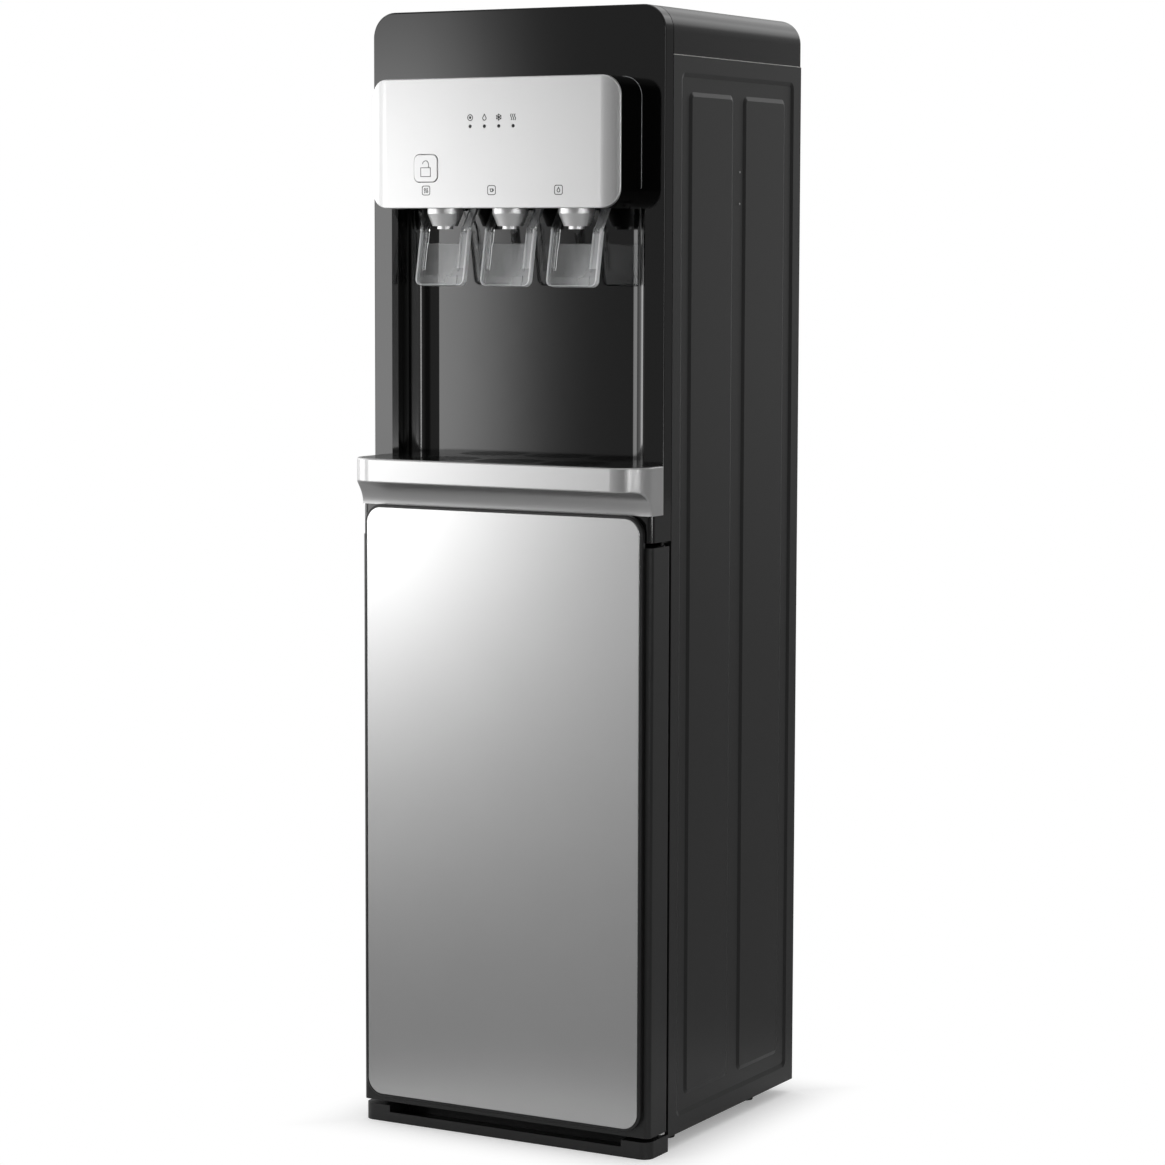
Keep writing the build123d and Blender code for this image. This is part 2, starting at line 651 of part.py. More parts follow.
def make_tap_carrier():
    inside = niche_half - WALL - FIT_GAP
    front = face_back + BOARD_STANDOFF + 2 * WALL
    rear_half = niche_half - HEAD_WINDOW_MARGIN - FIT_GAP
    back = face + NICHE_DEPTH - WALL
    carrier = block(-inside, inside, front, face - FIT_GAP, carrier_bottom, carrier_top)
    carrier += block(-rear_half, rear_half, face - FIT_GAP, back, carrier_bottom, carrier_top)
    ear_bottom = pivot[1] - HUB_RADIUS
    gap = LEVER_WIDTH / 2 + 2 * RUNNING_GAP
    for x in tap_xs.values():
        carrier -= upright(x, tap_y, carrier_bottom, carrier_top, SPIGOT_RADIUS + FIT_GAP)
        for x0 in (x - gap - EAR_THICKNESS, x + gap):
            ear = block(x0, x0 + EAR_THICKNESS, pivot[0] - HUB_RADIUS, pivot[0] + HUB_RADIUS,
                        ear_bottom, carrier_bottom)
            carrier += ear - across(x0, x0 + EAR_THICKNESS, *pivot, PIN_RADIUS)
    return carrier


def make_lever_pins():
    reach = LEVER_WIDTH / 2 + 2 * RUNNING_GAP + EAR_THICKNESS
    return Compound([across(x - reach, x + reach, *pivot, PIN_RADIUS) for x in tap_xs.values()])


def make_microswitches():
    """One switch a tap, under the carrier and behind the lever's left hub."""
    inset = LEVER_WIDTH / 2 - LEVER_ARM - WALL
    front = pivot[0] + HUB_RADIUS + SEAM
    back = face + NICHE_DEPTH - 2 * WALL
    return Compound([block(x - inset, x - inset + MICROSWITCH_WIDTH, front, back,
                           carrier_bottom - MICROSWITCH_HEIGHT, carrier_bottom) for x in tap_xs.values()])


def make_lever(x):
    """A clear lever: two ribbed arms from the pin to the knee and down to a plate with a rim round it."""
    outer = LEVER_WIDTH / 2
    length = hypot(toe[0] - knee[0], toe[1] - knee[1])
    down = ((toe[0] - knee[0]) / length, (toe[1] - knee[1]) / length)
    rib_end = (toe[0] - down[0] * LEVER_RIB_END, toe[1] - down[1] * LEVER_RIB_END)
    plate_plane = Plane(origin=(x, toe[0], toe[1]), x_dir=(1, 0, 0), z_dir=(0, down[1], -down[0]))

    def shield(width, bottom, top, radius):
        """A flat outline on the lever's plane, with round lower corners."""
        outline = Pos(0, (bottom + top) / 2) * Rectangle(width, top - bottom)
        return plate_plane * fillet(outline.vertices().group_by(Axis.Y)[0], radius)

    inner_width = LEVER_WIDTH - 2 * LEVER_RIB
    inner_radius = LEVER_CORNER - LEVER_RIB
    lever = extrude(shield(LEVER_WIDTH, 0, LEVER_PLATE, LEVER_CORNER), LEVER_WALL / 2, both=True)
    lip_width = LEVER_WIDTH - 2 * LEVER_LIP_INSET
    lever += extrude(shield(lip_width, 0, LEVER_LIP, LEVER_RIB), LEVER_WALL, both=True)
    rim = extrude(shield(LEVER_WIDTH, 0, length, LEVER_CORNER), -LEVER_RIM)
    lever += rim - extrude(shield(inner_width, LEVER_RIB, length, inner_radius), -LEVER_RIM)
    for x0 in (x - outer, x + outer - LEVER_ARM):
        x1 = x0 + LEVER_ARM
        rib_x = x1 - LEVER_RIB if x0 < x else x0
        lever += limb(pivot, knee, LEVER_WALL * 1.4, x0, x1)
        lever += limb(knee, rib_end, LEVER_WALL, x0, x1)
        lever += limb(knee, rib_end, LEVER_RIB_DEPTH, rib_x, rib_x + LEVER_RIB)
        lever += across(x0, x1, *pivot, HUB_RADIUS)
        lever -= across(x0, x1, *pivot, PIN_RADIUS + FIT_GAP)
    return lever


# Door
def hinge_boss(z0, z1):
    reach = BUSH_RADIUS + DOOR_WALL
    rear_face = min(hinge_y + reach, door_rear)
    return block(hinge_x - reach, half - DOOR_WALL, hinge_y - reach, rear_face, z0, z1)


def make_door_frame():
    frame = plan_slab(half, door_face, door_rear, DOOR_FRONT_RADIUS, DOOR_REAR_RADIUS, door_bottom, door_top)
    frame -= plan_slab(half - DOOR_WALL, door_face + DOOR_WALL, door_rear, DOOR_FRONT_RADIUS - DOOR_WALL, 0,
                       door_bottom + DOOR_WALL, door_top - DOOR_WALL)
    boss = HINGE_PIN_LENGTH + DOOR_WALL
    frame += hinge_boss(door_bottom, door_bottom + boss)
    frame += hinge_boss(door_top - boss, door_top)
    frame -= upright(hinge_x, hinge_y, door_bottom, door_bottom + HINGE_PIN_LENGTH, BUSH_RADIUS + FIT_GAP / 2)
    frame -= upright(hinge_x, hinge_y, door_top - HINGE_PIN_LENGTH, door_top, BUSH_RADIUS + FIT_GAP / 2)
    return frame


def make_door_liner():
    """The inner panel, dished so that the front of the bottle clears it."""
    side = half - DOOR_REAR_RADIUS - FIT_GAP
    z0 = door_bottom + DOOR_WALL + FIT_GAP
    z1 = door_top - DOOR_WALL - FIT_GAP
    liner = block(-side, side, door_rear - LINER_WALL, door_rear, z0, z1)
    floor_y = door_face + DOOR_WALL + 2 * LINER_WALL
    z0 += LINER_WALL + DISH_FLANGE
    z1 -= DISH_TOP_MARGIN
    width = WIDTH - 2 * DISH_MARGIN

    def dish(grow, y_mouth, y_floor):
        middle = Pos(0, (z0 + z1) / 2)
        mouth = Plane.XZ.offset(-y_mouth) * middle * RectangleRounded(
            width + 2 * grow, z1 - z0 + 2 * grow, DISH_RADIUS + grow)
        inset = grow - DISH_SLOPE
        floor = Plane.XZ.offset(-y_floor) * middle * RectangleRounded(
            width + 2 * inset, z1 - z0 + 2 * inset, DISH_RADIUS + inset)
        return loft([mouth, floor], ruled=True)

    liner += dish(LINER_WALL, door_rear - LINER_WALL, floor_y - LINER_WALL)
    notch = hinge_x - BUSH_RADIUS - DOOR_WALL - FIT_GAP
    boss = HINGE_PIN_LENGTH + DOOR_WALL + FIT_GAP
    for b0, b1 in ((door_bottom, door_bottom + boss), (door_top - boss, door_top)):
        liner -= block(notch, half, door_rear - LINER_WALL, door_rear, b0, b1)
    return liner - dish(0, door_rear, floor_y)


def make_door_slab():
    slab = upright_slab(2 * slab_half, slab_bottom, slab_top, SLAB_RADIUS, slab_face, door_face)
    front_rim = slab.edges().filter_by(lambda e: abs(e.center().Y - slab_face) < FIT_GAP)
    slab = fillet(front_rim, BEAD_RADIUS)
    return slab - upright_slab(2 * (slab_half - BEAD), slab_bottom + BEAD, slab_top - BEAD,
                               SLAB_RADIUS - BEAD, slab_face, slab_face + PANEL_THICKNESS)


def make_door_panel():
    inset = BEAD + FIT_GAP
    front = slab_face - PANEL_PROUD
    panel = upright_slab(2 * (slab_half - inset), slab_bottom + inset, slab_top - inset, SLAB_RADIUS - inset,
                         front, slab_face + PANEL_THICKNESS)
    return fillet(panel.edges().filter_by(lambda e: abs(e.center().Y - front) < FIT_GAP), PANEL_EDGE)


def make_door_bushes():
    lower = upright(hinge_x, hinge_y, door_bottom, door_bottom + HINGE_PIN_LENGTH, BUSH_RADIUS)
    flange_bottom = PLINTH_HEIGHT + HINGE_PLATE + RUNNING_GAP
    lower += upright(hinge_x, hinge_y, flange_bottom, door_bottom, BUSH_RADIUS + BUSH_FLANGE)
    upper = upright(hinge_x, hinge_y, door_top - HINGE_PIN_LENGTH, door_top, BUSH_RADIUS)
    pin = upright(hinge_x, hinge_y, 0, HEIGHT, HINGE_PIN_RADIUS + BUSH_GAP)
    return Compound([lower - pin, upper - pin])


def make_hinge(z_plate, z_pin0, z_pin1):
    """A flat hinge plate with its pin."""
    reach = BUSH_RADIUS + WALL
    plate = block(hinge_x - 2 * reach, min(hinge_x + reach, half - WALL), hinge_y - reach,
                  face + BEZEL_DEPTH - FIT_GAP, z_plate, z_plate + HINGE_PLATE)
    return plate + upright(hinge_x, hinge_y, z_pin0, z_pin1, HINGE_PIN_RADIUS)


def strike_span():
    """Lowest and highest point of the strike plate on the door."""
    top = door_top - DOOR_WALL - 2 * FIT_GAP
    return top - CATCH_HEIGHT, top


def make_catch_magnet():
    bottom, top = strike_span()
    return block(-CATCH_WIDTH / 2, CATCH_WIDTH / 2, panel_front - RUNNING_GAP, panel_front + CATCH_HEIGHT,
                 (bottom + top) / 2, shelf_bottom)


def make_strike_plate():
    bottom, top = strike_span()
    return block(-CATCH_WIDTH / 2, CATCH_WIDTH / 2, door_rear, door_rear + SHEET / 2, bottom, top)


# Machine compartment
def make_machine_shelf():
    front = panel_front + SHEET
    back = back_sheet_front - FIT_GAP
    shelf = block(-shell_inside, shell_inside, front, back, shelf_bottom, shelf_top)
    for x0 in (-shell_inside, shell_inside - SHEET):
        shelf += block(x0, x0 + SHEET, front, back, shelf_bottom - SHELF_FLANGE, shelf_bottom)
    x, y = probe_place()
    return shelf - upright(x, y, shelf_bottom, shelf_top, HOSE_RADIUS + FIT_GAP)


def compressor_place():
    x = shell_inside - COMPRESSOR_RADIUS - 3 * GROMMET_RADIUS
    return x, back_sheet_front - COMPRESSOR_RADIUS - GROMMET_RADIUS


def grommet_places():
    x, y = compressor_place()
    reach = COMPRESSOR_RADIUS * 0.8
    return [(x + i * reach, y + j * reach) for i in (-1, 1) for j in (-1, 1)]


def make_compressor():
    x, y = compressor_place()
    plate_z = shelf_top + GROMMET_HEIGHT
    reach = COMPRESSOR_RADIUS * 0.8 + GROMMET_RADIUS
    bottom = plate_z + WALL
    body = block(x - reach, x + reach, y - reach, y + reach, plate_z, bottom)
    shell = upright(x, y, bottom, bottom + COMPRESSOR_HEIGHT, COMPRESSOR_RADIUS)
    body += chamfer(shell.edges().group_by(Axis.Z)[-1], COMPRESSOR_CHAMFER)
    seam_z = bottom + COMPRESSOR_HEIGHT / 2
    body += upright(x, y, seam_z, seam_z + 2 * WALL, COMPRESSOR_RADIUS + WALL)
    box_bottom = seam_z - TERMINAL_BOX_HEIGHT - WALL
    body += block(x - COMPRESSOR_RADIUS - TERMINAL_BOX_REACH, x, y - TERMINAL_BOX_WIDTH / 2,
                  y + TERMINAL_BOX_WIDTH / 2, box_bottom, box_bottom + TERMINAL_BOX_HEIGHT)
    return body - upright(x, y, bottom, bottom + COMPRESSOR_HEIGHT - COMPRESSOR_CHAMFER,
                          COMPRESSOR_RADIUS - COMPRESSOR_WALL)


def make_compressor_grommets():
    return Compound([upright(x, y, shelf_top, shelf_top + GROMMET_HEIGHT, GROMMET_RADIUS)
                     for x, y in grommet_places()])


def hot_tank_place():
    return tap_xs["left"], face + NICHE_DEPTH + HOT_TANK_RADIUS + 8 * WALL


def make_hot_tank():
    x, y = hot_tank_place()
    bottom = shelf_top + HOT_STAND_HEIGHT
    tank = upright(x, y, bottom, bottom + HOT_TANK_HEIGHT, HOT_TANK_RADIUS)
    tank = chamfer(tank.edges().group_by(Axis.Z)[-1], HOT_TANK_CHAMFER)
    top = bottom + HOT_TANK_HEIGHT
    outlet_top = bridge_bottom + 4 * WALL
    tank += upright(x, y, top, outlet_top, BARB_RADIUS)
    tank -= upright(x, y, bottom + TANK_WALL, top - HOT_TANK_CHAMFER, HOT_TANK_RADIUS - TANK_WALL)
    return tank - upright(x, y, bottom + TANK_WALL, outlet_top, BARB_RADIUS - TANK_WALL)


def make_hot_tank_stand():
    x, y = hot_tank_place()
    top = shelf_top + HOT_STAND_HEIGHT
    reach = HOT_TANK_RADIUS * 0.75
    stand = block(x - reach, x + reach, y - reach, y + reach, top - SHEET, top)
    for x0 in (x - reach, x + reach - SHEET):
        stand += block(x0, x0 + SHEET, y - reach, y + reach, shelf_top, top)
    return stand


def cold_tank_place():
    side = COLD_TANK_RADIUS + JACKET_WALL
    return sum(cold_outlet_xs()) / 2, back_sheet_front - side - SWITCH_BOX_DEPTH


def cold_outlet_xs():
    return [tap_xs["middle"], tap_xs["right"]]


def make_cold_tank():
    x, y = cold_tank_place()
    bottom = bridge_bottom + SHEET + JACKET_WALL
    tank = upright(x, y, bottom, bottom + COLD_TANK_HEIGHT, COLD_TANK_RADIUS)
    for tap in cold_outlet_xs():
        tank += inward(tap, y - COLD_TANK_RADIUS - JACKET_WALL - 4 * WALL, y, barb_z, BARB_RADIUS)
    tank -= upright(x, y, bottom + TANK_WALL, bottom + COLD_TANK_HEIGHT - TANK_WALL,
                    COLD_TANK_RADIUS - TANK_WALL)
    for tap in cold_outlet_xs():
        tank -= inward(tap, y - COLD_TANK_RADIUS - JACKET_WALL - 4 * WALL, y, barb_z, BARB_RADIUS - TANK_WALL)
    return tank


def make_insulation_jacket():
    x, y = cold_tank_place()
    side = COLD_TANK_RADIUS + JACKET_WALL
    bottom = bridge_bottom + SHEET
    top = bottom + COLD_TANK_HEIGHT + 2 * JACKET_WALL
    jacket = block(x - side, x + side, y - side, y + side, bottom, top)
    jacket = chamfer(jacket.edges().filter_by(Axis.Z), JACKET_WALL)
    jacket -= upright(x, y, bottom + JACKET_WALL, top - JACKET_WALL, COLD_TANK_RADIUS)
    for tap in cold_outlet_xs():
        jacket -= inward(tap, y - side, y, barb_z, BARB_RADIUS)
    return jacket


def make_tank_bridge():
    x, y = cold_tank_place()
    tank_x, tank_y = hot_tank_place()
    front = min(y - COLD_TANK_RADIUS - JACKET_WALL, tank_y - HOSE_RADIUS - 2 * WALL)
    back = back_sheet_front - FIT_GAP
    bridge = block(-shell_inside, shell_inside, front, back, bridge_bottom, bridge_bottom + SHEET)
    for x0 in (-shell_inside, shell_inside - SHEET):
        bridge += block(x0, x0 + SHEET, front, back, bridge_bottom - BRIDGE_FLANGE, bridge_bottom)
    return bridge - upright(tank_x, tank_y, bridge_bottom, bridge_bottom + SHEET, HOSE_RADIUS + FIT_GAP)


def make_hot_hose():
    """Up from the tank, round one bend and forward to the left valve."""
    x, y = hot_tank_place()
    start = bridge_bottom + SHEET + WALL
    end_y = face + NICHE_DEPTH - 4 * WALL
    turn_z = barb_z - HOSE_BEND

    def run(radius):
        bend_axis = Axis((x, y - HOSE_BEND, turn_z), (1, 0, 0))
        bend = revolve(Plane.XY.offset(turn_z) * Pos(x, y) * Circle(radius), bend_axis, 90)
        return upright(x, y, start, turn_z, radius) + bend + inward(x, end_y, y - HOSE_BEND, barb_z, radius)

    return run(HOSE_RADIUS) - run(BARB_RADIUS + FIT_GAP)


def make_cold_hoses():
    x, y = cold_tank_place()
    jacket_front = y - COLD_TANK_RADIUS - JACKET_WALL
    end_y = face + NICHE_DEPTH - 4 * WALL
    return Compound([inward(tap, end_y, jacket_front, barb_z, HOSE_RADIUS)
                     - inward(tap, end_y, jacket_front, barb_z, BARB_RADIUS + FIT_GAP)
                     for tap in cold_outlet_xs()])


def probe_place():
    return -half + PROBE_INSET, back_sheet_front - PROBE_INSET


def probe_seat():
    """Height of the hanger's fork, on which the probe cap rests."""
    return shelf_bottom - HANGER_DROP


def make_probe_tube():
    x, y = probe_place()
    seat = probe_seat()
    foot = base_top + PROBE_FLOOR_GAP
    tube = upright(x, y, foot, seat, PROBE_TUBE_RADIUS)
    return tube - upright(x, y, foot, seat, PROBE_TUBE_RADIUS - TANK_WALL)


def make_probe_cap():
    x, y = probe_place()
    seat = probe_seat()
    cap = upright(x, y, seat, seat + PROBE_CAP_HEIGHT, PROBE_CAP_RADIUS)
    cap = chamfer(cap.edges().group_by(Axis.Z)[-1], WALL)
    return cap + upright(x, y, seat + PROBE_CAP_HEIGHT, shelf_bottom, BARB_RADIUS)


def make_probe_hanger():
    x, y = probe_place()
    seat = probe_seat()
    reach = PROBE_CAP_RADIUS * 0.8
    slot = PROBE_TUBE_RADIUS + SHEET
    fork = block(x - reach, x + reach, y - reach, back_sheet_front, seat - 2 * SHEET, seat)
    fork -= block(x - slot, x + slot, y - reach, y, seat - 2 * SHEET, seat)
    fork -= upright(x, y, seat - 2 * SHEET, seat, slot)
    return fork + block(x - reach, x + reach, back_sheet_front - 2 * SHEET, back_sheet_front,
                        seat, seat + reach)


def make_supply_hose():
    x, y = probe_place()
    start = probe_seat() + PROBE_CAP_HEIGHT
    end = shelf_top + GROMMET_HEIGHT
    return upright(x, y, start, end, HOSE_RADIUS) - upright(x, y, start, end, BARB_RADIUS + FIT_GAP)


def make_water_pump():
    x, y = probe_place()
    bottom = shelf_top + GROMMET_HEIGHT
    axis_z = bottom + PUMP_RADIUS
    back = y + PUMP_RADIUS
    pump = block(x - PUMP_RADIUS, x + PUMP_RADIUS, y - PUMP_RADIUS, back, bottom, axis_z + PUMP_RADIUS)
    pump += inward(x, back - PUMP_LENGTH - PUMP_RADIUS, y - PUMP_RADIUS, axis_z, PUMP_RADIUS * 0.85)
    for x0 in (x - PUMP_RADIUS, x + PUMP_RADIUS - 2 * WALL):
        pump += block(x0, x0 + 2 * WALL, y - PUMP_RADIUS, back, shelf_top, bottom)
    return pump


# Back
def make_condenser():
    """One serpentine tube with upright wires on both of its sides; its ends turn into the rear panel."""
    reach = COIL_STRAIGHT / 2
    bend = COIL_PITCH / 2
    turn = 3 * TUBE_RADIUS
    section = Plane.YZ * Pos(coil_y, 0) * Circle(TUBE_RADIUS)
    tube = None
    for i in range(COIL_PASSES):
        z = coil_bottom + i * COIL_PITCH
        straight = across(-reach, reach, coil_y, z, TUBE_RADIUS)
        tube = straight if tube is None else tube + straight
        if i < COIL_PASSES - 1:
            s = 1 if i % 2 == 0 else -1
            bend_axis = Axis((s * reach, coil_y, z + bend), (0, -s, 0))
            tube += revolve(Pos(s * reach, 0, z) * section, bend_axis, 180)
    for s, z in ((-1, coil_bottom), (1, coil_top)):
        elbow_axis = Axis((s * reach, coil_y - turn, z), (0, 0, -s))
        tube += revolve(Pos(s * reach, 0, z) * section, elbow_axis, 90)
        tube += inward(s * (reach + turn), rear - SHEET, coil_y - turn, z, TUBE_RADIUS)
    solids = [tube]
    gap = TUBE_RADIUS + FIT_GAP / 2
    for i in range(WIRE_COUNT):
        x = (i - (WIRE_COUNT - 1) / 2) * WIRE_PITCH
        for y0 in (coil_y - gap - WIRE, coil_y + gap):
            solids.append(block(x - WIRE / 2, x + WIRE / 2, y0, y0 + WIRE,
                                coil_bottom - WIRE_OVERHANG, coil_top + WIRE_OVERHANG))
    return Compound(solids)


def make_condenser_clips():
    x = COIL_STRAIGHT / 2 - CLIP_WIDTH
    clips = []
    for s in (-1, 1):
        for z in (coil_bottom, coil_top):
            clip = block(s * x - CLIP_WIDTH / 2, s * x + CLIP_WIDTH / 2, rear - SHEET, rear_limit,
                         z - CLIP_HEIGHT / 2, z + CLIP_HEIGHT / 2)
            clips.append(clip - across(s * x - CLIP_WIDTH / 2, s * x + CLIP_WIDTH / 2, coil_y, z,
                                       TUBE_RADIUS + FIT_GAP / 2))
    return Compound(clips)


def fitting_xs():
    """Places of the cord gland and of the two drain outlets on the back."""
    first = -half + 4 * GLAND_RADIUS
    return [first, first + 4 * DRAIN_RADIUS, first + 7 * DRAIN_RADIUS]


def make_cord_gland():
    x = fitting_xs()[0]
    gland = inward(x, rear - SHEET, rear + 2 * WALL, fitting_z, GLAND_RADIUS)
    gland += inward(x, back_sheet_front - 4 * WALL, rear + 4 * WALL, fitting_z, HOSE_RADIUS)
    return gland - inward(x, back_sheet_front - 4 * WALL, rear + 4 * WALL, fitting_z, GLAND_BORE)


def make_drain_caps():
    caps = []
    for x in fitting_xs()[1:]:
        cap = inward(x, rear - SHEET, rear + 5 * WALL, fitting_z, DRAIN_RADIUS)
        cap = chamfer(cap.edges().group_by(Axis.Y)[-1], WALL)
        caps.append(cap + inward(x, back_sheet_front - 4 * WALL, rear - SHEET, fitting_z, HOSE_RADIUS))
    return Compound(caps)


def switch_xs():
    return [-SWITCH_PITCH / 2, SWITCH_PITCH / 2]


def make_switch_box():
    """The frame and wells of the two rear rocker switches."""
    front = rear + WALL - SWITCH_BOX_DEPTH
    half_height = SWITCH_HEIGHT / 2
    rim_side = SWITCH_PITCH / 2 + SWITCH_WIDTH / 2 + SWITCH_RIM
    rim_height = half_height + SWITCH_RIM
    box = block(-rim_side, rim_side, rear - SHEET, rear + WALL, switch_z - rim_height, switch_z + rim_height)
    for x in switch_xs():
        half_width = SWITCH_WIDTH / 2
        box += block(x - half_width - WALL, x + half_width + WALL, front, rear - SHEET,
                     switch_z - half_height - WALL, switch_z + half_height + WALL)
        box -= block(x - half_width, x + half_width, front + WALL, rear + WALL,
                     switch_z - half_height, switch_z + half_height)
        box -= across(x - half_width - WALL / 2, x + half_width + WALL / 2, rocker_y(), switch_z,
                      PIN_RADIUS + FIT_GAP)
    return box


def rocker_y():
    return rear - SWITCH_BOX_DEPTH / 3


def make_rocker(x):
    """A rocker that rests on its lower side; it tips on a cross pin moulded in one piece with it."""
    half_width = SWITCH_WIDTH / 2 - ROCKER_GAP
    tall = SWITCH_HEIGHT / 2 - ROCKER_END_GAP
    top = SWITCH_BOX_DEPTH / 3 + WALL + ROCKER_PROUD
    profile = make_face(Polyline((top, tall), (top - ROCKER_DISH, 0), (top, -tall), (-ROCKER_TAIL, -tall / 2),
                                 (-ROCKER_TAIL, tall / 2), close=True))
    body = extrude(Plane.YZ.offset(-half_width) * profile, 2 * half_width)
    body += across(-half_width - WALL / 3, half_width + WALL / 3, 0, 0, PIN_RADIUS)
    return Pos(x, rocker_y(), switch_z) * Rot(-SWITCH_THROW / 2, 0, 0) * body


def make_rear_screws():
    screws = []
    for s in (-1, 1):
        x = s * (half - FLANGE / 2)
        for i in range(SCREW_ROWS):
            z = base_top + FLANGE + i * (panel_top - base_top - 2 * FLANGE) / (SCREW_ROWS - 1)
            screws.append(inward(x, rear, rear + SCREW_HEAD, z, SCREW_RADIUS))
    return Compound(screws)


right_side_panel = make_side_panel()
PARTS = {
    "base_pan": make_base_pan(),
    "feet": make_feet(),
    "plinth": make_plinth(),
    "right_side_panel": right_side_panel,
    "left_side_panel": mirror(right_side_panel, about=Plane.YZ),
    "rear_panel": make_rear_panel(),
    "top_cover": make_top_cover(),
    "front_bezel": make_front_bezel(),
    "niche_liner": make_niche_liner(),
    "tray_surround": make_tray_surround(),
    "drip_tub": make_drip_tub(),
    "drip_grille": make_drip_grille(),
    "head_housing": make_head_housing(),
    "faceplate": make_faceplate(),
    "lock_button": make_lock_button(),
    "indicator_lamps": make_indicator_lamps(),
    "control_board": make_control_board(),
    "tap_valves": make_tap_valves(),
    "tap_carrier": make_tap_carrier(),
    "lever_pins": make_lever_pins(),
    "microswitches": make_microswitches(),
    "door_frame": make_door_frame(),
    "door_liner": make_door_liner(),
    "door_slab": make_door_slab(),
    "door_panel": make_door_panel(),
    "door_bushes": make_door_bushes(),
    "upper_hinge": make_hinge(skirt_bottom - HINGE_PLATE, door_top - HINGE_PIN_LENGTH,
                              skirt_bottom - HINGE_PLATE),
    "lower_hinge": make_hinge(PLINTH_HEIGHT, PLINTH_HEIGHT + HINGE_PLATE, door_bottom + HINGE_PIN_LENGTH),
    "catch_magnet": make_catch_magnet(),
    "strike_plate": make_strike_plate(),
    "machine_shelf": make_machine_shelf(),
    "compressor": make_compressor(),
    "compressor_grommets": make_compressor_grommets(),
    "hot_tank": make_hot_tank(),
    "hot_tank_stand": make_hot_tank_stand(),
    "cold_tank": make_cold_tank(),
    "insulation_jacket": make_insulation_jacket(),
    "tank_bridge": make_tank_bridge(),
    "hot_hose": make_hot_hose(),
    "cold_hoses": make_cold_hoses(),
    "probe_tube": make_probe_tube(),
    "probe_cap": make_probe_cap(),
    "probe_hanger": make_probe_hanger(),
    "supply_hose": make_supply_hose(),
    "water_pump": make_water_pump(),
    "condenser": make_condenser(),
    "condenser_clips": make_condenser_clips(),
    "cord_gland": make_cord_gland(),
    "drain_caps": make_drain_caps(),
    "switch_box": make_switch_box(),
    "rear_screws": make_rear_screws(),
}
for name, x in tap_xs.items():
    PARTS["tap_nozzle_" + name] = make_nozzle(x)
    PARTS["tap_lever_" + name] = make_lever(x)
for name, x in zip(("hot_switch", "cold_switch"), switch_xs()):
    PARTS[name] = make_rocker(x)

os.makedirs("parts", exist_ok=True)
for name, shape in PARTS.items():
    export_step(shape, f"parts/{name}.step")
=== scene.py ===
import json
import math

import bmesh
import bpy
from mathutils import Matrix, Vector


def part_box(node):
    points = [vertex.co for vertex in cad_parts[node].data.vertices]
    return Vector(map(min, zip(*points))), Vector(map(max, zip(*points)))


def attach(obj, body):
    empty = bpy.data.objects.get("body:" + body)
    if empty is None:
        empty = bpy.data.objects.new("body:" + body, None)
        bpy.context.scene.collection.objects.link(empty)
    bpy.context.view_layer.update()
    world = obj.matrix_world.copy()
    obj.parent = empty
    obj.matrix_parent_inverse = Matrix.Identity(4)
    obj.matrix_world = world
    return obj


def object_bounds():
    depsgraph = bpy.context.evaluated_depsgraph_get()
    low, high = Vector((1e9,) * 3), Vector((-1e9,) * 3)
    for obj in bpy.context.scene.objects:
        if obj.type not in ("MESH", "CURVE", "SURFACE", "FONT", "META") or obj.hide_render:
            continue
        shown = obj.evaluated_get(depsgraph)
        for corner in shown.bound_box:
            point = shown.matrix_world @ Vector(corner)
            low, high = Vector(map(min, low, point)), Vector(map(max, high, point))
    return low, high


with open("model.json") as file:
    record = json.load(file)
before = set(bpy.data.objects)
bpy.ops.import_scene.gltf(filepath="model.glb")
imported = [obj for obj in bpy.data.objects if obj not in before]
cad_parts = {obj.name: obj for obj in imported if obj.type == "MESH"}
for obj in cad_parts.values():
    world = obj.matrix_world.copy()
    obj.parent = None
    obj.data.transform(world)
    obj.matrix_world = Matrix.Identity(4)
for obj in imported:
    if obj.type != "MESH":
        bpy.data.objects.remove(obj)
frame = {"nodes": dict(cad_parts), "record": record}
cad_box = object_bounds()
nodes = frame["nodes"]

# Camera, in metres and degrees
CAMERA_PLACE = (1.609266, -2.857122, 0.838076)
CAMERA_AZIMUTH = 29.374
CAMERA_PITCH = 5.675
CAMERA_ROLL = 0.167
CAMERA_LENS = 106.0

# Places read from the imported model
plate_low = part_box("faceplate")[0]
plate_front = plate_low.y
button_low, button_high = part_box("lock_button")
lamps_low, lamps_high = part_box("indicator_lamps")
lamp_z = (lamps_low.z + lamps_high.z) / 2
lever_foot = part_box("tap_lever_middle")[0].z
cover_low, cover_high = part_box("top_cover")
panel_low, panel_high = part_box("right_side_panel")
head_low, head_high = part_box("head_housing")

# Printed marks, in metres
PRINT_THICKNESS = 0.00008
LINE_WIDTH = 0.0007
LAMP_PITCH = 0.0151
LAMP_ICON_RISE = 0.0079
LAMP_ICON_RADIUS = 0.0029
TAP_PITCH = 0.070
TAP_ICON_RISE = 0.0163
TAP_ICON_SIZE = 0.0082
LOCK_HALF_WIDTH = 0.0052
LOCK_FOOT = -0.0075
LOCK_TOP = 0.0005
SHACKLE_RISE = 0.0036
SHACKLE_RADIUS = LOCK_HALF_WIDTH * 0.62

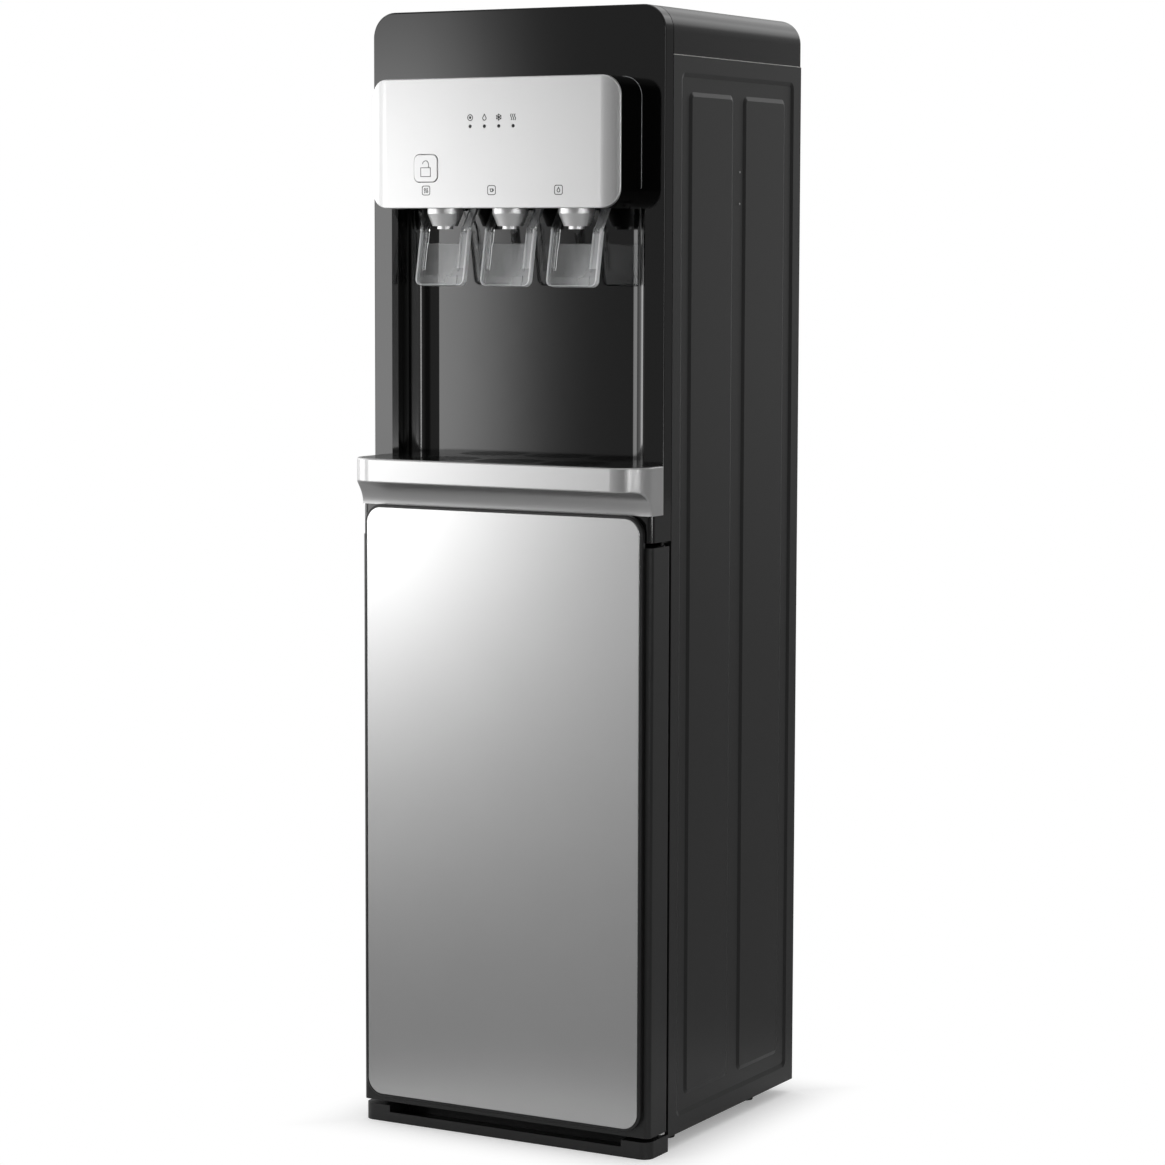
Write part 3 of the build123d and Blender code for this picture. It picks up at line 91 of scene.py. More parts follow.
# The clear levers, in metres: across from the middle of the tap and up from the lever's foot
ARM_INSIDE = 0.01875
ARM_OUTSIDE = 0.02625
LEVER_CORNER = 0.006
ARM_ACROSS = (ARM_INSIDE - 0.0004, ARM_INSIDE, ARM_OUTSIDE - 0.0014, ARM_OUTSIDE - 0.001)
ARM_UP = (0.0165, 0.0172, 0.047, 0.051)
RIGHT_HALF = (-0.002, 0.002)
PLATE_ACROSS = (-0.016, 0.026)
PLATE_UP = (0.006, 0.048)
LIP_UP = (0.0085, 0.0095)
RIM_OUT = (LEVER_CORNER - 0.0018, LEVER_CORNER - 0.0014)
RIM_UP = (0.051, 0.055)

# How hazy each part of the levers' plastic is, where 1 is white; the extra white on the right arms and the white at
# the rim are painted highlight
ARM_HAZE = 0.06
RIGHT_ARM_HIGHLIGHT = 0.24
PLATE_HAZE = 0.34
LIP_HAZE = 0.05
RIM_HIGHLIGHT = 0.6
FLOW_HAZE = 0.02

# Pale strips and a pale bead that paint the highlight along the cover's and the head's joints, and rivets, in metres
JOINT_STRIP_DEPTH = 0.001
JOINT_STRIP_INSET = 0.00002
JOINT_STRIP_END_GAP = 0.001
JOINT_STRIP_ROUND = 0.00012
HEAD_CORNER = 0.018
BEAD_RADIUS = 0.00032
BEAD_PROUD = BEAD_RADIUS * 0.3
BEAD_SIDES = 8
RIVET_RADIUS = 0.0011
RIVET_RISE = 0.0003
RIVET_SIDES = 16
RIVET_Y = 0.0245
RIVET_HEIGHTS = (0.8735, 0.903)

# How far below its top the cover's coat turns matt, in metres
MATT_DEPTH = 0.0015

# Brightness of the studio, where 1 is white; SHADE and GAP are shares of the room's light that are held back
ROOM = 0.36
KEY = 4.2
SIDE = 1.4
FLANK = 4.0
STRIP = 9.0
LAMP = 11.0
FILL = 0.35
SHADE = 0.5
GAP = 0.75
WALL = 0.9
BACK = 0.6
ABOVE = 0.9
PAPER = 0.4
PAPER_SEEN = 0.85
GLOW = 0.28

# Where the studio's lights are, in degrees to the left of the front, and how high they reach, in degrees
SIDE_ACROSS, SIDE_TOP = (38.0, 62.0, 110.0, 150.0), (25.0, 55.0)
STRIP_ACROSS, STRIP_UP = (-48.5, -47.0, -45.0, -43.5), (-16.0, -8.0, 10.0, 24.0)
LAMP_ACROSS, LAMP_UP = (-88.0, -82.0, -72.0, -67.0), (-12.0, -8.0, -4.6, -3.4)
LOW_LAMP_ACROSS, LOW_LAMP_UP = (-69.0, -65.0, -58.0, -54.0), (-9.0, -7.0, -5.0, -3.0)
FLANK_ACROSS, FLANK_UP = (64.0, 71.0, 84.0, 90.0), (-7.0, -5.0, 2.0, 5.0)
FILL_ACROSS, FILL_TOP = (-95.0, -70.0, -45.0, -25.0), (20.0, 45.0)
SHADE_ACROSS, SHADE_TOP = (-172.0, -160.0, -115.0, -95.0), (-8.0, 45.0)
GAP_ACROSS, GAP_TOP = (-43.0, -38.0, -14.0, -2.0), (20.0, 45.0)
WALL_ROUND, WALL_TOP = (150.0 ** 2, 172.0 ** 2), (20.0, 50.0)
BACK_ACROSS, BACK_UP = (-175.0, -168.0, -158.0, -150.0), (12.0, 18.0, 30.0, 40.0)
ABOVE_UP = (50.0, 75.0)

# The key light's card, in metres and degrees, with the edges between which it brightens and fades
KEY_AZIMUTH = 38.0
KEY_DISTANCE = 2.0
KEY_WIDTH = 0.9
KEY_HEIGHT = 1.6
KEY_ACROSS = (-0.44, -0.07, 0.20, 0.44)
KEY_UP = (-0.8, -0.2, 0.1, 0.65)
KEY_FALL = 3.0

# The floor, in metres: where it runs out to white, and where mirrors see it paler
FLOOR_SIZE = 14.0
FLOOR_FADE = (-0.02, 0.065)
CLOSE_REACH = (0.25, 0.5)
LEFT_REACH = (-0.5, -1.6)
LEFT_SHARE = 0.6


class Value:
    """One output in a material's node tree; sums on it add Math nodes."""

    def __init__(self, finish, socket):
        self.finish = finish
        self.socket = socket

    def math(self, operation, a, b):
        return self.finish.node("ShaderNodeMath", {"operation": operation}, {0: a, 1: b})

    def __add__(self, other):
        return self.math("ADD", self, other)

    def __radd__(self, other):
        return self.math("ADD", other, self)

    def __sub__(self, other):
        return self.math("SUBTRACT", self, other)

    def __rsub__(self, other):
        return self.math("SUBTRACT", other, self)

    def __mul__(self, other):
        return self.math("MULTIPLY", self, other)

    def __pow__(self, other):
        return self.math("POWER", self, other)


class Finish:
    """A material or world under construction."""

    def __init__(self, holder):
        holder.use_nodes = True
        self.holder = holder
        self.tree = holder.node_tree

    def node(self, kind, settings=None, inputs=None, output=0):
        """Adds a node and gives one of its outputs; an input is a constant or another node's output."""
        made = self.tree.nodes.new(kind)
        for key, value in (settings or {}).items():
            setattr(made, key, value)
        for key, value in (inputs or {}).items():
            self.plug(made.inputs[key], value)
        return Value(self, made.outputs[output])

    def plug(self, socket, value):
        if isinstance(value, Value):
            self.tree.links.new(value.socket, socket)
        else:
            socket.default_value = value

    def shader(self, **inputs):
        """Sets inputs of the material's own shader, named as in Blender but in small letters."""
        principled = self.tree.nodes["Principled BSDF"]
        for key, value in inputs.items():
            self.plug(principled.inputs[key.replace("_", " ").title().replace("Ior", "IOR")], value)

    def principled(self):
        return Value(self, self.tree.nodes["Principled BSDF"].outputs[0])

    def place(self):
        """The point on the object, in metres of the shared frame."""
        return self.node("ShaderNodeTexCoord", output="Object")

    def noise(self, scale, detail, roughness=0.5):
        return self.node("ShaderNodeTexNoise", {}, {"Vector": self.place(), "Scale": scale, "Detail": detail,
                                                    "Roughness": roughness})

    def bump(self, height, strength, distance):
        return self.node("ShaderNodeBump", {}, {"Strength": strength, "Distance": distance, "Height": height})

    def tint(self, mask, low, high):
        """A colour between two others, by a mask."""
        return self.node("ShaderNodeMix", {"data_type": "RGBA"}, {0: mask, 6: (*low, 1.0), 7: (*high, 1.0)}, output=2)

    def along(self, axis, place):
        """One coordinate of a point or direction."""
        return self.node("ShaderNodeSeparateXYZ", {}, {0: place}, output=axis)

    def ramp(self, value, start, end):
        """Rises smoothly from 0 at start to 1 at end."""
        return self.node("ShaderNodeMapRange", {"interpolation_type": "SMOOTHSTEP"},
                         {"Value": value, "From Min": start, "From Max": end})

    def window(self, value, start, full, fade, end):
        """Rises from start to full and falls again from fade to end."""
        return self.ramp(value, start, full) * (1 - self.ramp(value, fade, end))


def new_finish(name):
    return Finish(bpy.data.materials.new(name))


def grey(level, warm=0.0):
    """A neutral colour, a little warm or cool."""
    return (level * (1 + warm), level, level * (1 - warm))


def gloss_black(name, level=0.0012, roughness=0.05, ripple=0.012):
    """Piano-black moulding: deep, glossy, with the faint ripple of a moulded face."""
    f = new_finish(name)
    ripples = f.noise(scale=22.0, detail=1.0)
    specks = f.noise(scale=900.0, detail=2.0)
    f.shader(base_color=f.tint(specks, grey(level * 0.8), grey(level * 1.3)),
             roughness=roughness + specks * 0.03, normal=f.bump(ripples, strength=ripple, distance=0.002), ior=1.5)
    return f.holder


def satin_black(name, level=0.012, roughness=0.38, grain=0.12):
    """Black moulding with a fine spark-eroded grain."""
    f = new_finish(name)
    fine = f.noise(scale=2600.0, detail=2.0)
    broad = f.noise(scale=60.0, detail=2.0)
    f.shader(base_color=f.tint(broad, grey(level * 0.85), grey(level * 1.25)),
             roughness=roughness + fine * 0.14, normal=f.bump(fine, strength=grain, distance=0.00012), ior=1.48)
    return f.holder


def charcoal_coat(name, level, roughness, grain, matt_above=None):
    """Powder coat on pressed sheet, with its fine orange peel; a flat top is wiped matt."""
    f = new_finish(name)
    wiped = 0.0
    if matt_above:
        z = f.along("Z", f.place())
        wiped = f.ramp(z, start=matt_above, end=matt_above + 0.001) * 0.34
    peel = f.noise(scale=1100.0, detail=2.0)
    broad = f.noise(scale=9.0, detail=3.0)
    f.shader(base_color=f.tint(broad, grey(level * 0.9, 0.01), grey(level * 1.15, 0.01)),
             roughness=roughness + peel * 0.08 + wiped, normal=f.bump(peel, strength=grain, distance=0.0002), ior=1.45)
    return f.holder


def silver_paint(name, level, roughness, metallic, flake=0.05):
    """Silver paint with fine metal flake under a thin lacquer."""
    f = new_finish(name)
    flakes = f.noise(scale=3800.0, detail=2.0, roughness=0.7)
    broad = f.noise(scale=14.0, detail=2.0)
    f.shader(base_color=f.tint(flakes * 0.7 + broad * 0.3, grey(level * 0.92), grey(level * 1.06)),
             metallic=metallic, roughness=roughness + flakes * 0.06,
             normal=f.bump(flakes, strength=flake, distance=0.00006), ior=1.5)
    return f.holder


def turned_metal(name, level, roughness):
    """Satin plated metal with a fine grain."""
    f = new_finish(name)
    fine = f.noise(scale=2400.0, detail=2.0)
    f.shader(base_color=f.tint(fine, grey(level * 0.9), grey(level * 1.05)), metallic=1.0,
             roughness=roughness + fine * 0.08, normal=f.bump(fine, strength=0.04, distance=0.00005))
    return f.holder


def zinc_sheet(name, level=0.45, roughness=0.36):
    """Zinc-coated sheet with its broad pale spangle."""
    f = new_finish(name)
    spangle = f.node("ShaderNodeTexVoronoi", {"feature": "F1"}, {"Vector": f.place(), "Scale": 70.0}, output="Color")
    patch = f.node("ShaderNodeSeparateColor", {}, {"Color": spangle})
    fine = f.noise(scale=1200.0, detail=2.0)
    f.shader(base_color=f.tint(patch * 0.7 + fine * 0.3, grey(level * 0.82), grey(level * 1.1)), metallic=1.0,
             roughness=roughness + patch * 0.1)
    return f.holder


def clear_plastic(name):
    """Clear moulded polycarbonate with faint flow marks, hazier at the arms, the plate and the lip, with painted
    highlight as white haze at the rim and on the right arms.
    """
    f = new_finish(name)
    flow = f.noise(scale=120.0, detail=2.0)
    f.shader(base_color=f.tint(flow, (0.93, 0.95, 0.95), (1.0, 1.0, 1.0)), roughness=0.03 + flow * 0.02,
             normal=f.bump(flow, strength=0.03, distance=0.0004), transmission_weight=1.0, ior=1.5)
    place = f.place()
    x = f.along("X", place)
    z = f.along("Z", place)
    up = z - lever_foot
    from_tap = f.node("ShaderNodeMath", {"operation": "WRAP"}, {0: x, 1: TAP_PITCH / 2, 2: -TAP_PITCH / 2})
    across = f.node("ShaderNodeMath", {"operation": "ABSOLUTE"}, {0: from_tap})
    arms = f.window(across, *ARM_ACROSS) * f.window(up, *ARM_UP)
    right_arm = f.ramp(from_tap, *RIGHT_HALF)
    low = 1 - f.ramp(up, *PLATE_UP)
    plate = f.ramp(from_tap, *PLATE_ACROSS) * (0.35 + low * 0.65)
    lip = 1 - f.ramp(up, *LIP_UP)
    over_x = f.node("ShaderNodeMath", {"operation": "MAXIMUM"}, {0: across - (ARM_OUTSIDE - LEVER_CORNER), 1: 0.0})
    over_z = f.node("ShaderNodeMath", {"operation": "MAXIMUM"}, {0: LEVER_CORNER - up, 1: 0.0})
    reach = (over_x * over_x + over_z * over_z) ** 0.5
    rim = f.ramp(reach, *RIM_OUT) * (1 - f.ramp(up, *RIM_UP))
    haze_and_highlight = f.node("ShaderNodeBsdfPrincipled", {}, {"Base Color": (0.95, 0.96, 0.97, 1.0), "Roughness": 0.12})
    # The white mixed in on the right arms and at the rim is painted highlight; the rest is haze and flow marks.
    haze_and_highlight_share = (arms * (ARM_HAZE + right_arm * RIGHT_ARM_HIGHLIGHT) + plate * PLATE_HAZE + lip * LIP_HAZE + rim * RIM_HIGHLIGHT
             + flow * FLOW_HAZE)
    mixed = f.node("ShaderNodeMixShader", {}, {0: haze_and_highlight_share, 1: f.principled(), 2: haze_and_highlight})
    f.plug(f.tree.nodes["Material Output"].inputs["Surface"], mixed)
    return f.holder


def soft_plastic(name, colour, roughness=0.5, grain=0.08):
    """Plain moulded plastic or rubber in one colour, with a fine grain."""
    f = new_finish(name)
    fine = f.noise(scale=1500.0, detail=2.0)
    low = tuple(c * 0.88 for c in colour)
    high = tuple(min(1.0, c * 1.08) for c in colour)
    f.shader(base_color=f.tint(fine, low, high), roughness=roughness + fine * 0.12,
             normal=f.bump(fine, strength=grain, distance=0.0001))
    return f.holder


def print_ink(name, level):
    """Screen-printed ink with slightly uneven cover."""
    f = new_finish(name)
    cover = f.noise(scale=3000.0, detail=2.0)
    f.shader(base_color=f.tint(cover, grey(level), grey(level * 1.3)), roughness=0.5 + cover * 0.1)
    return f.holder


# Finishes by the record's slots
finishes = {
    "charcoal_steel": charcoal_coat("charcoal_steel", level=0.008, roughness=0.32, grain=0.05),
    "charcoal_cover": charcoal_coat("charcoal_cover", level=0.007, roughness=0.14, grain=0.006,
                                    matt_above=cover_high.z - MATT_DEPTH),
    "bezel_black": gloss_black("bezel_black"),
    "niche_black": gloss_black("niche_black"),
    "head_black": gloss_black("head_black"),
    "plate_silver": silver_paint("plate_silver", level=0.63, roughness=0.3, metallic=0.75),
    "tray_silver": silver_paint("tray_silver", level=0.57, roughness=0.26, metallic=0.78),
    "door_silver": silver_paint("door_silver", level=0.57, roughness=0.22, metallic=1.0, flake=0.03),
    "button_grey": silver_paint("button_grey", level=0.63, roughness=0.3, metallic=0.75),
    "lamp_lens": gloss_black("lamp_lens", level=0.01, roughness=0.15),
    "nozzle_satin": turned_metal("nozzle_satin", level=0.84, roughness=0.38),
    "clear_lever": clear_plastic("clear_lever"),
    "tray_black": satin_black("tray_black", level=0.01, roughness=0.3),
    "grille_black": gloss_black("grille_black", level=0.008, roughness=0.18),
    "door_black": satin_black("door_black", level=0.008, roughness=0.3),
    "plinth_black": satin_black("plinth_black", level=0.008, roughness=0.32),
    "base_black": satin_black("base_black", level=0.01, roughness=0.5),
    "liner_grey": soft_plastic("liner_grey", (0.35, 0.36, 0.37)),
    "zinc_steel": zinc_sheet("zinc_steel"),
    "black_steel": charcoal_coat("black_steel", level=0.01, roughness=0.4, grain=0.2),
    "stainless": turned_metal("stainless", level=0.58, roughness=0.28),
    "foam_white": soft_plastic("foam_white", (0.8, 0.79, 0.76), roughness=0.85, grain=0.3),
    "inner_plastic": soft_plastic("inner_plastic", (0.7, 0.7, 0.69)),
    "rubber_black": soft_plastic("rubber_black", (0.014, 0.014, 0.014), roughness=0.7, grain=0.2),
    "hose_white": soft_plastic("hose_white", (0.75, 0.76, 0.77), roughness=0.35),
    "board_green": soft_plastic("board_green", (0.02, 0.12, 0.05), roughness=0.35),
    "switch_black": satin_black("switch_black"),
    "hot_rocker": soft_plastic("hot_rocker", (0.5, 0.02, 0.02), roughness=0.25),
    "cold_rocker": soft_plastic("cold_rocker", (0.02, 0.08, 0.4), roughness=0.25),
}
dark_ink = print_ink("dark_ink", level=0.008)
pale_ink = print_ink("pale_ink", level=0.14)


def finish_nodes():
    """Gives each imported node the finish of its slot."""
    for part in frame["record"]["subparts"]:
        mesh = nodes[part["node"]].data
        mesh.materials.clear()
        mesh.materials.append(finishes[part["material_slot"]])


def new_piece(name, bm, finish, body):
    """A mesh piece that rides on a body."""
    mesh = bpy.data.meshes.new(name)
    bm.to_mesh(mesh)
    bm.free()
    mesh.materials.append(finish)
    piece = bpy.data.objects.new(name, mesh)
    bpy.context.scene.collection.objects.link(piece)
    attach(piece, body)


def add_print(bm, outline, y):
    """A printed patch on a front face: an outline of (x, z) points with the ink's thickness."""
    front = [bm.verts.new((x, y - PRINT_THICKNESS, z)) for x, z in outline]
    back = [bm.verts.new((x, y, z)) for x, z in outline]
    bm.faces.new(front)
    bm.faces.new(reversed(back))
    for i in range(len(front)):
        j = (i + 1) % len(front)
        bm.faces.new((front[j], front[i], back[i], back[j]))


def add_line(bm, points, width, y, closed=False):
    """A printed line of even width through (x, z) points, one patch a stretch."""
    ends = points + points[:1] if closed else points
    for (x0, z0), (x1, z1) in zip(ends, ends[1:]):
        length = math.hypot(x1 - x0, z1 - z0)
        dx = (x1 - x0) / length * width / 2
        dz = (z1 - z0) / length * width / 2
        start = (x0 - dx, z0 - dz)
        end = (x1 + dx, z1 + dz)
        add_print(bm, [(start[0] + dz, start[1] - dx), (end[0] + dz, end[1] - dx),
                       (end[0] - dz, end[1] + dx), (start[0] - dz, start[1] + dx)], y)


def arc(x, z, radius, start, end, steps):
    """Points on a round stretch, angles in degrees."""
    angles = [math.radians(start + (end - start) * i / steps) for i in range(steps + 1)]
    return [(x + radius * math.cos(a), z + radius * math.sin(a)) for a in angles]


def rounded_square(x, z, size, radius):
    """The outline of a square with round corners."""
    inner = size / 2 - radius
    points = []
    for corner, (sx, sz) in enumerate(((1, 1), (-1, 1), (-1, -1), (1, -1))):
        points += arc(x + sx * inner, z + sz * inner, radius, corner * 90, corner * 90 + 90, 5)
    return points


def drop(x, z, size):
    """The outline of a drop, point up."""
    return [(x, z + size)] + arc(x, z - size * 0.25, size * 0.62, 30, -210, 14)


def add_power_mark(bm, x, z, size, y):
    add_print(bm, arc(x, z, size * 0.42, 0, 340, 17), y)
    add_line(bm, arc(x, z, size * 0.9, 0, 345, 23), LINE_WIDTH, y, closed=True)


def add_drop_mark(bm, x, z, size, y):
    add_line(bm, drop(x, z, size), LINE_WIDTH, y, closed=True)


def add_frost_mark(bm, x, z, size, y):
    for spoke in range(6):
        angle = math.radians(spoke * 60 + 90)
        tip = (x + size * math.cos(angle), z + size * math.sin(angle))
        add_line(bm, [(x, z), tip], LINE_WIDTH, y)
        fork = (x + size * 0.55 * math.cos(angle), z + size * 0.55 * math.sin(angle))
        for side in (-45, 45):
            turn = angle + math.radians(side)
            add_line(bm, [fork, (fork[0] + size * 0.38 * math.cos(turn), fork[1] + size * 0.38 * math.sin(turn))],
                     LINE_WIDTH * 0.8, y)


def add_steam_mark(bm, x, z, size, y):
    for offset in (-0.7, 0.0, 0.7):
        wave = [(x + size * (offset + 0.2 * math.sin(t * math.pi / 3)), z + size * (t / 3 - 1) * 0.9)
                for t in range(7)]
        add_line(bm, wave, LINE_WIDTH, y)


def add_cup_mark(bm, x, z, size, y):
    bowl = [(x - size * 0.7, z + size * 0.5), (x - size * 0.45, z - size * 0.6), (x + size * 0.35, z - size * 0.6),
            (x + size * 0.6, z + size * 0.5)]
    add_line(bm, bowl, LINE_WIDTH, y, closed=True)
    add_line(bm, arc(x + size * 0.55, z, size * 0.35, -70, 80, 6), LINE_WIDTH, y)


def make_lamp_marks():
    """The pictograms over the lamps: power, water, cold and hot."""
    bm = bmesh.new()
    marks = (add_power_mark, add_drop_mark, add_frost_mark, add_steam_mark)
    for i, add_mark in enumerate(marks):
        add_mark(bm, (i - 1.5) * LAMP_PITCH, lamp_z + LAMP_ICON_RISE, LAMP_ICON_RADIUS, plate_front)
    new_piece("lamp_marks", bm, dark_ink, "cabinet")


def make_tap_marks():
    """The framed pictograms over the taps: hot, a cup and cold."""
    bm = bmesh.new()
    z = plate_low.z + TAP_ICON_RISE
    for x, add_mark in ((-TAP_PITCH, add_steam_mark), (0.0, add_cup_mark), (TAP_PITCH, add_drop_mark)):
        add_line(bm, rounded_square(x, z, TAP_ICON_SIZE, TAP_ICON_SIZE * 0.22), LINE_WIDTH * 0.9, plate_front,
                 closed=True)
        add_mark(bm, x, z, TAP_ICON_SIZE * 0.27, plate_front)
    new_piece("tap_marks", bm, dark_ink, "cabinet")


def make_lock_mark():
    """The open padlock on the lock button."""
    bm = bmesh.new()
    x = (button_low.x + button_high.x) / 2
    z = (button_low.z + button_high.z) / 2
    y = button_low.y
    left, right, foot, top = x - LOCK_HALF_WIDTH, x + LOCK_HALF_WIDTH, z + LOCK_FOOT, z + LOCK_TOP
    add_line(bm, [(left, foot), (right, foot), (right, top), (left, top)], LINE_WIDTH, y, closed=True)
    shackle = [(x + SHACKLE_RADIUS, top)] + arc(x, z + SHACKLE_RISE, SHACKLE_RADIUS, 0, 170, 9)
    add_line(bm, shackle, LINE_WIDTH, y)
    new_piece("lock_mark", bm, pale_ink, "lock_key")


def make_cover_highlight_strips():
    """A pale strip in the joint between the cover and each side panel, painted highlight along the joint."""
    for name, side in (("right_cover_highlight_strip", 1), ("left_cover_highlight_strip", -1)):
        bm = bmesh.new()
        outer = side * (panel_high.x - JOINT_STRIP_INSET)
        middle = Vector((outer - side * JOINT_STRIP_DEPTH / 2, (panel_low.y + panel_high.y) / 2,
                         (panel_high.z + cover_low.z) / 2))
        size = (JOINT_STRIP_DEPTH, panel_high.y - panel_low.y - 2 * JOINT_STRIP_END_GAP, cover_low.z - panel_high.z, 1.0)
        bmesh.ops.create_cube(bm, size=1.0, matrix=Matrix.Translation(middle) @ Matrix.Diagonal(size))
        bmesh.ops.bevel(bm, geom=bm.edges, offset=JOINT_STRIP_ROUND, segments=2, affect="EDGES")
        # The white strip is painted highlight along the joint.
        new_piece(name, bm, finishes["foam_white"], "cabinet")


def add_rings(bm, rings):
    """Joins rings of corners into a closed skin with flat ends."""
    for first, second in zip(rings, rings[1:]):
        for i in range(len(first)):
            j = (i + 1) % len(first)
            bm.faces.new((first[i], first[j], second[j], second[i]))
    bm.faces.new(rings[-1])
    bm.faces.new(reversed(rings[0]))


def make_head_highlight_bead():
    """A pale grey bead where the dispensing head meets the bezel, over the top and down the sides; its pale grey is
    painted highlight along the joint's edge.
    """
    half, low, high = head_high.x, head_low.z + HEAD_CORNER, head_high.z - HEAD_CORNER
    side = [(half, low + (high - low) * i / 6, 0.0) for i in range(6)]
    side += [(half - HEAD_CORNER + HEAD_CORNER * math.cos(t), high + HEAD_CORNER * math.sin(t), t)
             for t in (math.pi / 2 * i / 12 for i in range(13))]
    path = side + [(-x, z, math.pi - t) for x, z, t in reversed(side)]
    bm = bmesh.new()
    rings = []
    for x, z, t in path:
        ring = []
        for i in range(BEAD_SIDES):
            turn = 2 * math.pi * i / BEAD_SIDES
            out = BEAD_RADIUS * math.cos(turn) + BEAD_PROUD
            front = BEAD_RADIUS * math.sin(turn) + BEAD_PROUD
            ring.append(bm.verts.new((x + out * math.cos(t), head_high.y - front, z + out * math.sin(t))))
        rings.append(ring)
    add_rings(bm, rings)
    bmesh.ops.recalc_face_normals(bm, faces=bm.faces)
    # The grey bead is painted highlight along the joint.
    new_piece("head_highlight_bead", bm, finishes["liner_grey"], "cabinet")


def make_rivets():
    """Two small blind rivets on each side panel, domed and set into the sheet."""
    turns = [2 * math.pi * i / RIVET_SIDES for i in range(RIVET_SIDES)]
    for name, side in (("right_rivets", 1), ("left_rivets", -1)):
        bm = bmesh.new()
        for z in RIVET_HEIGHTS:
            rings = []
            for reach, rise in ((1.0, 0.0), (0.85, 0.6), (0.5, 0.95)):
                x = side * (panel_high.x - RIVET_RISE * (1 - rise))
                radius = reach * RIVET_RADIUS
                rings.append([bm.verts.new((x, RIVET_Y + radius * math.cos(t), z + radius * math.sin(t)))
                              for t in turns])
            add_rings(bm, rings)
        bmesh.ops.recalc_face_normals(bm, faces=bm.faces)
        new_piece(name, bm, finishes["zinc_steel"], "cabinet")


def studio_camera():
    """The photograph's camera."""
    a = math.radians(CAMERA_AZIMUTH)
    e = math.radians(CAMERA_PITCH)
    roll = math.radians(CAMERA_ROLL)
    right = Vector((math.cos(a), math.sin(a), 0.0))
    ahead = Vector((-math.sin(a) * math.cos(e), math.cos(a) * math.cos(e), -math.sin(e)))
    up = right.cross(ahead)
    turned_right = math.cos(roll) * right + math.sin(roll) * up
    turned_up = math.cos(roll) * up - math.sin(roll) * right
    data = bpy.data.cameras.new("camera")
    data.lens = CAMERA_LENS
    data.sensor_width = 36.0
    data.clip_start = 0.05
    data.clip_end = 60.0
    camera = bpy.data.objects.new("camera", data)
    bpy.context.scene.collection.objects.link(camera)
    camera.matrix_world = Matrix.Translation(CAMERA_PLACE) @ Matrix(
        (turned_right, turned_up, -ahead)).transposed().to_4x4()
    bpy.context.scene.camera = camera


def studio_world():
    """A soft studio: a pale side at the left, narrow lamps at both sides, a pale wall behind, shade at the right."""
    world = bpy.data.worlds.new("studio")
    bpy.context.scene.world = world
    f = Finish(world)
    way = f.node("ShaderNodeTexCoord", output="Generated")
    x = f.along("X", way)
    y = f.along("Y", way)
    z = f.along("Z", way)
    left = f.node("ShaderNodeMath", {"operation": "ARCTAN2"}, {0: x * -1.0, 1: y * -1.0}) * math.degrees(1)
    rise = f.node("ShaderNodeMath", {"operation": "ARCSINE"}, {0: z}) * math.degrees(1)

    side = f.window(left, *SIDE_ACROSS) * (1 - f.ramp(rise, *SIDE_TOP))
    strip = f.window(left, *STRIP_ACROSS) * f.window(rise, *STRIP_UP)
    lamp = f.window(left, *LAMP_ACROSS) * f.window(rise, *LAMP_UP)
    low_lamp = f.window(left, *LOW_LAMP_ACROSS) * f.window(rise, *LOW_LAMP_UP)
    flank = f.window(left, *FLANK_ACROSS) * f.window(rise, *FLANK_UP)
    fill = f.window(left, *FILL_ACROSS) * (1 - f.ramp(rise, *FILL_TOP))
    shade = f.window(left, *SHADE_ACROSS) * (1 - f.ramp(rise, *SHADE_TOP))
    gap = f.window(left, *GAP_ACROSS) * (1 - f.ramp(rise, *GAP_TOP))
    wall = f.ramp(left * left, *WALL_ROUND) * (1 - f.ramp(rise, *WALL_TOP))
    back = f.window(left, *BACK_ACROSS) * f.window(rise, *BACK_UP)
    above = f.ramp(rise, *ABOVE_UP)
    room = ((1 - shade * SHADE - gap * GAP) * ROOM + side * SIDE + flank * FLANK + strip * STRIP
            + (lamp + low_lamp) * LAMP + fill * FILL + wall * WALL + back * BACK + above * ABOVE)
    lens = f.node("ShaderNodeLightPath", output="Is Camera Ray")
    through = f.node("ShaderNodeLightPath", output="Is Transmission Ray")
    seen = f.node("ShaderNodeMath", {"operation": "MAXIMUM"}, {0: lens, 1: through})
    light = f.node("ShaderNodeBackground", {}, {"Color": (1.0, 1.0, 1.0, 1.0), "Strength": room})
    white = f.node("ShaderNodeBackground", {}, {"Color": (1.0, 1.0, 1.0, 1.0), "Strength": 1.0})
    mixed = f.node("ShaderNodeMixShader", {}, {0: seen, 1: light, 2: white})
    f.plug(f.tree.nodes["World Output"].inputs["Surface"], mixed)


def stage_card(name, material, width, height, matrix):
    """A flat studio card that isn't part of the object."""
    bm = bmesh.new()
    bmesh.ops.create_grid(bm, x_segments=1, y_segments=1, size=0.5, matrix=Matrix.Diagonal((width, height, 1.0, 1.0)))
    mesh = bpy.data.meshes.new(name)
    bm.to_mesh(mesh)
    bm.free()
    mesh.materials.append(material)
    card = bpy.data.objects.new(name, mesh)
    card.matrix_world = matrix
    bpy.context.scene.collection.objects.link(card)


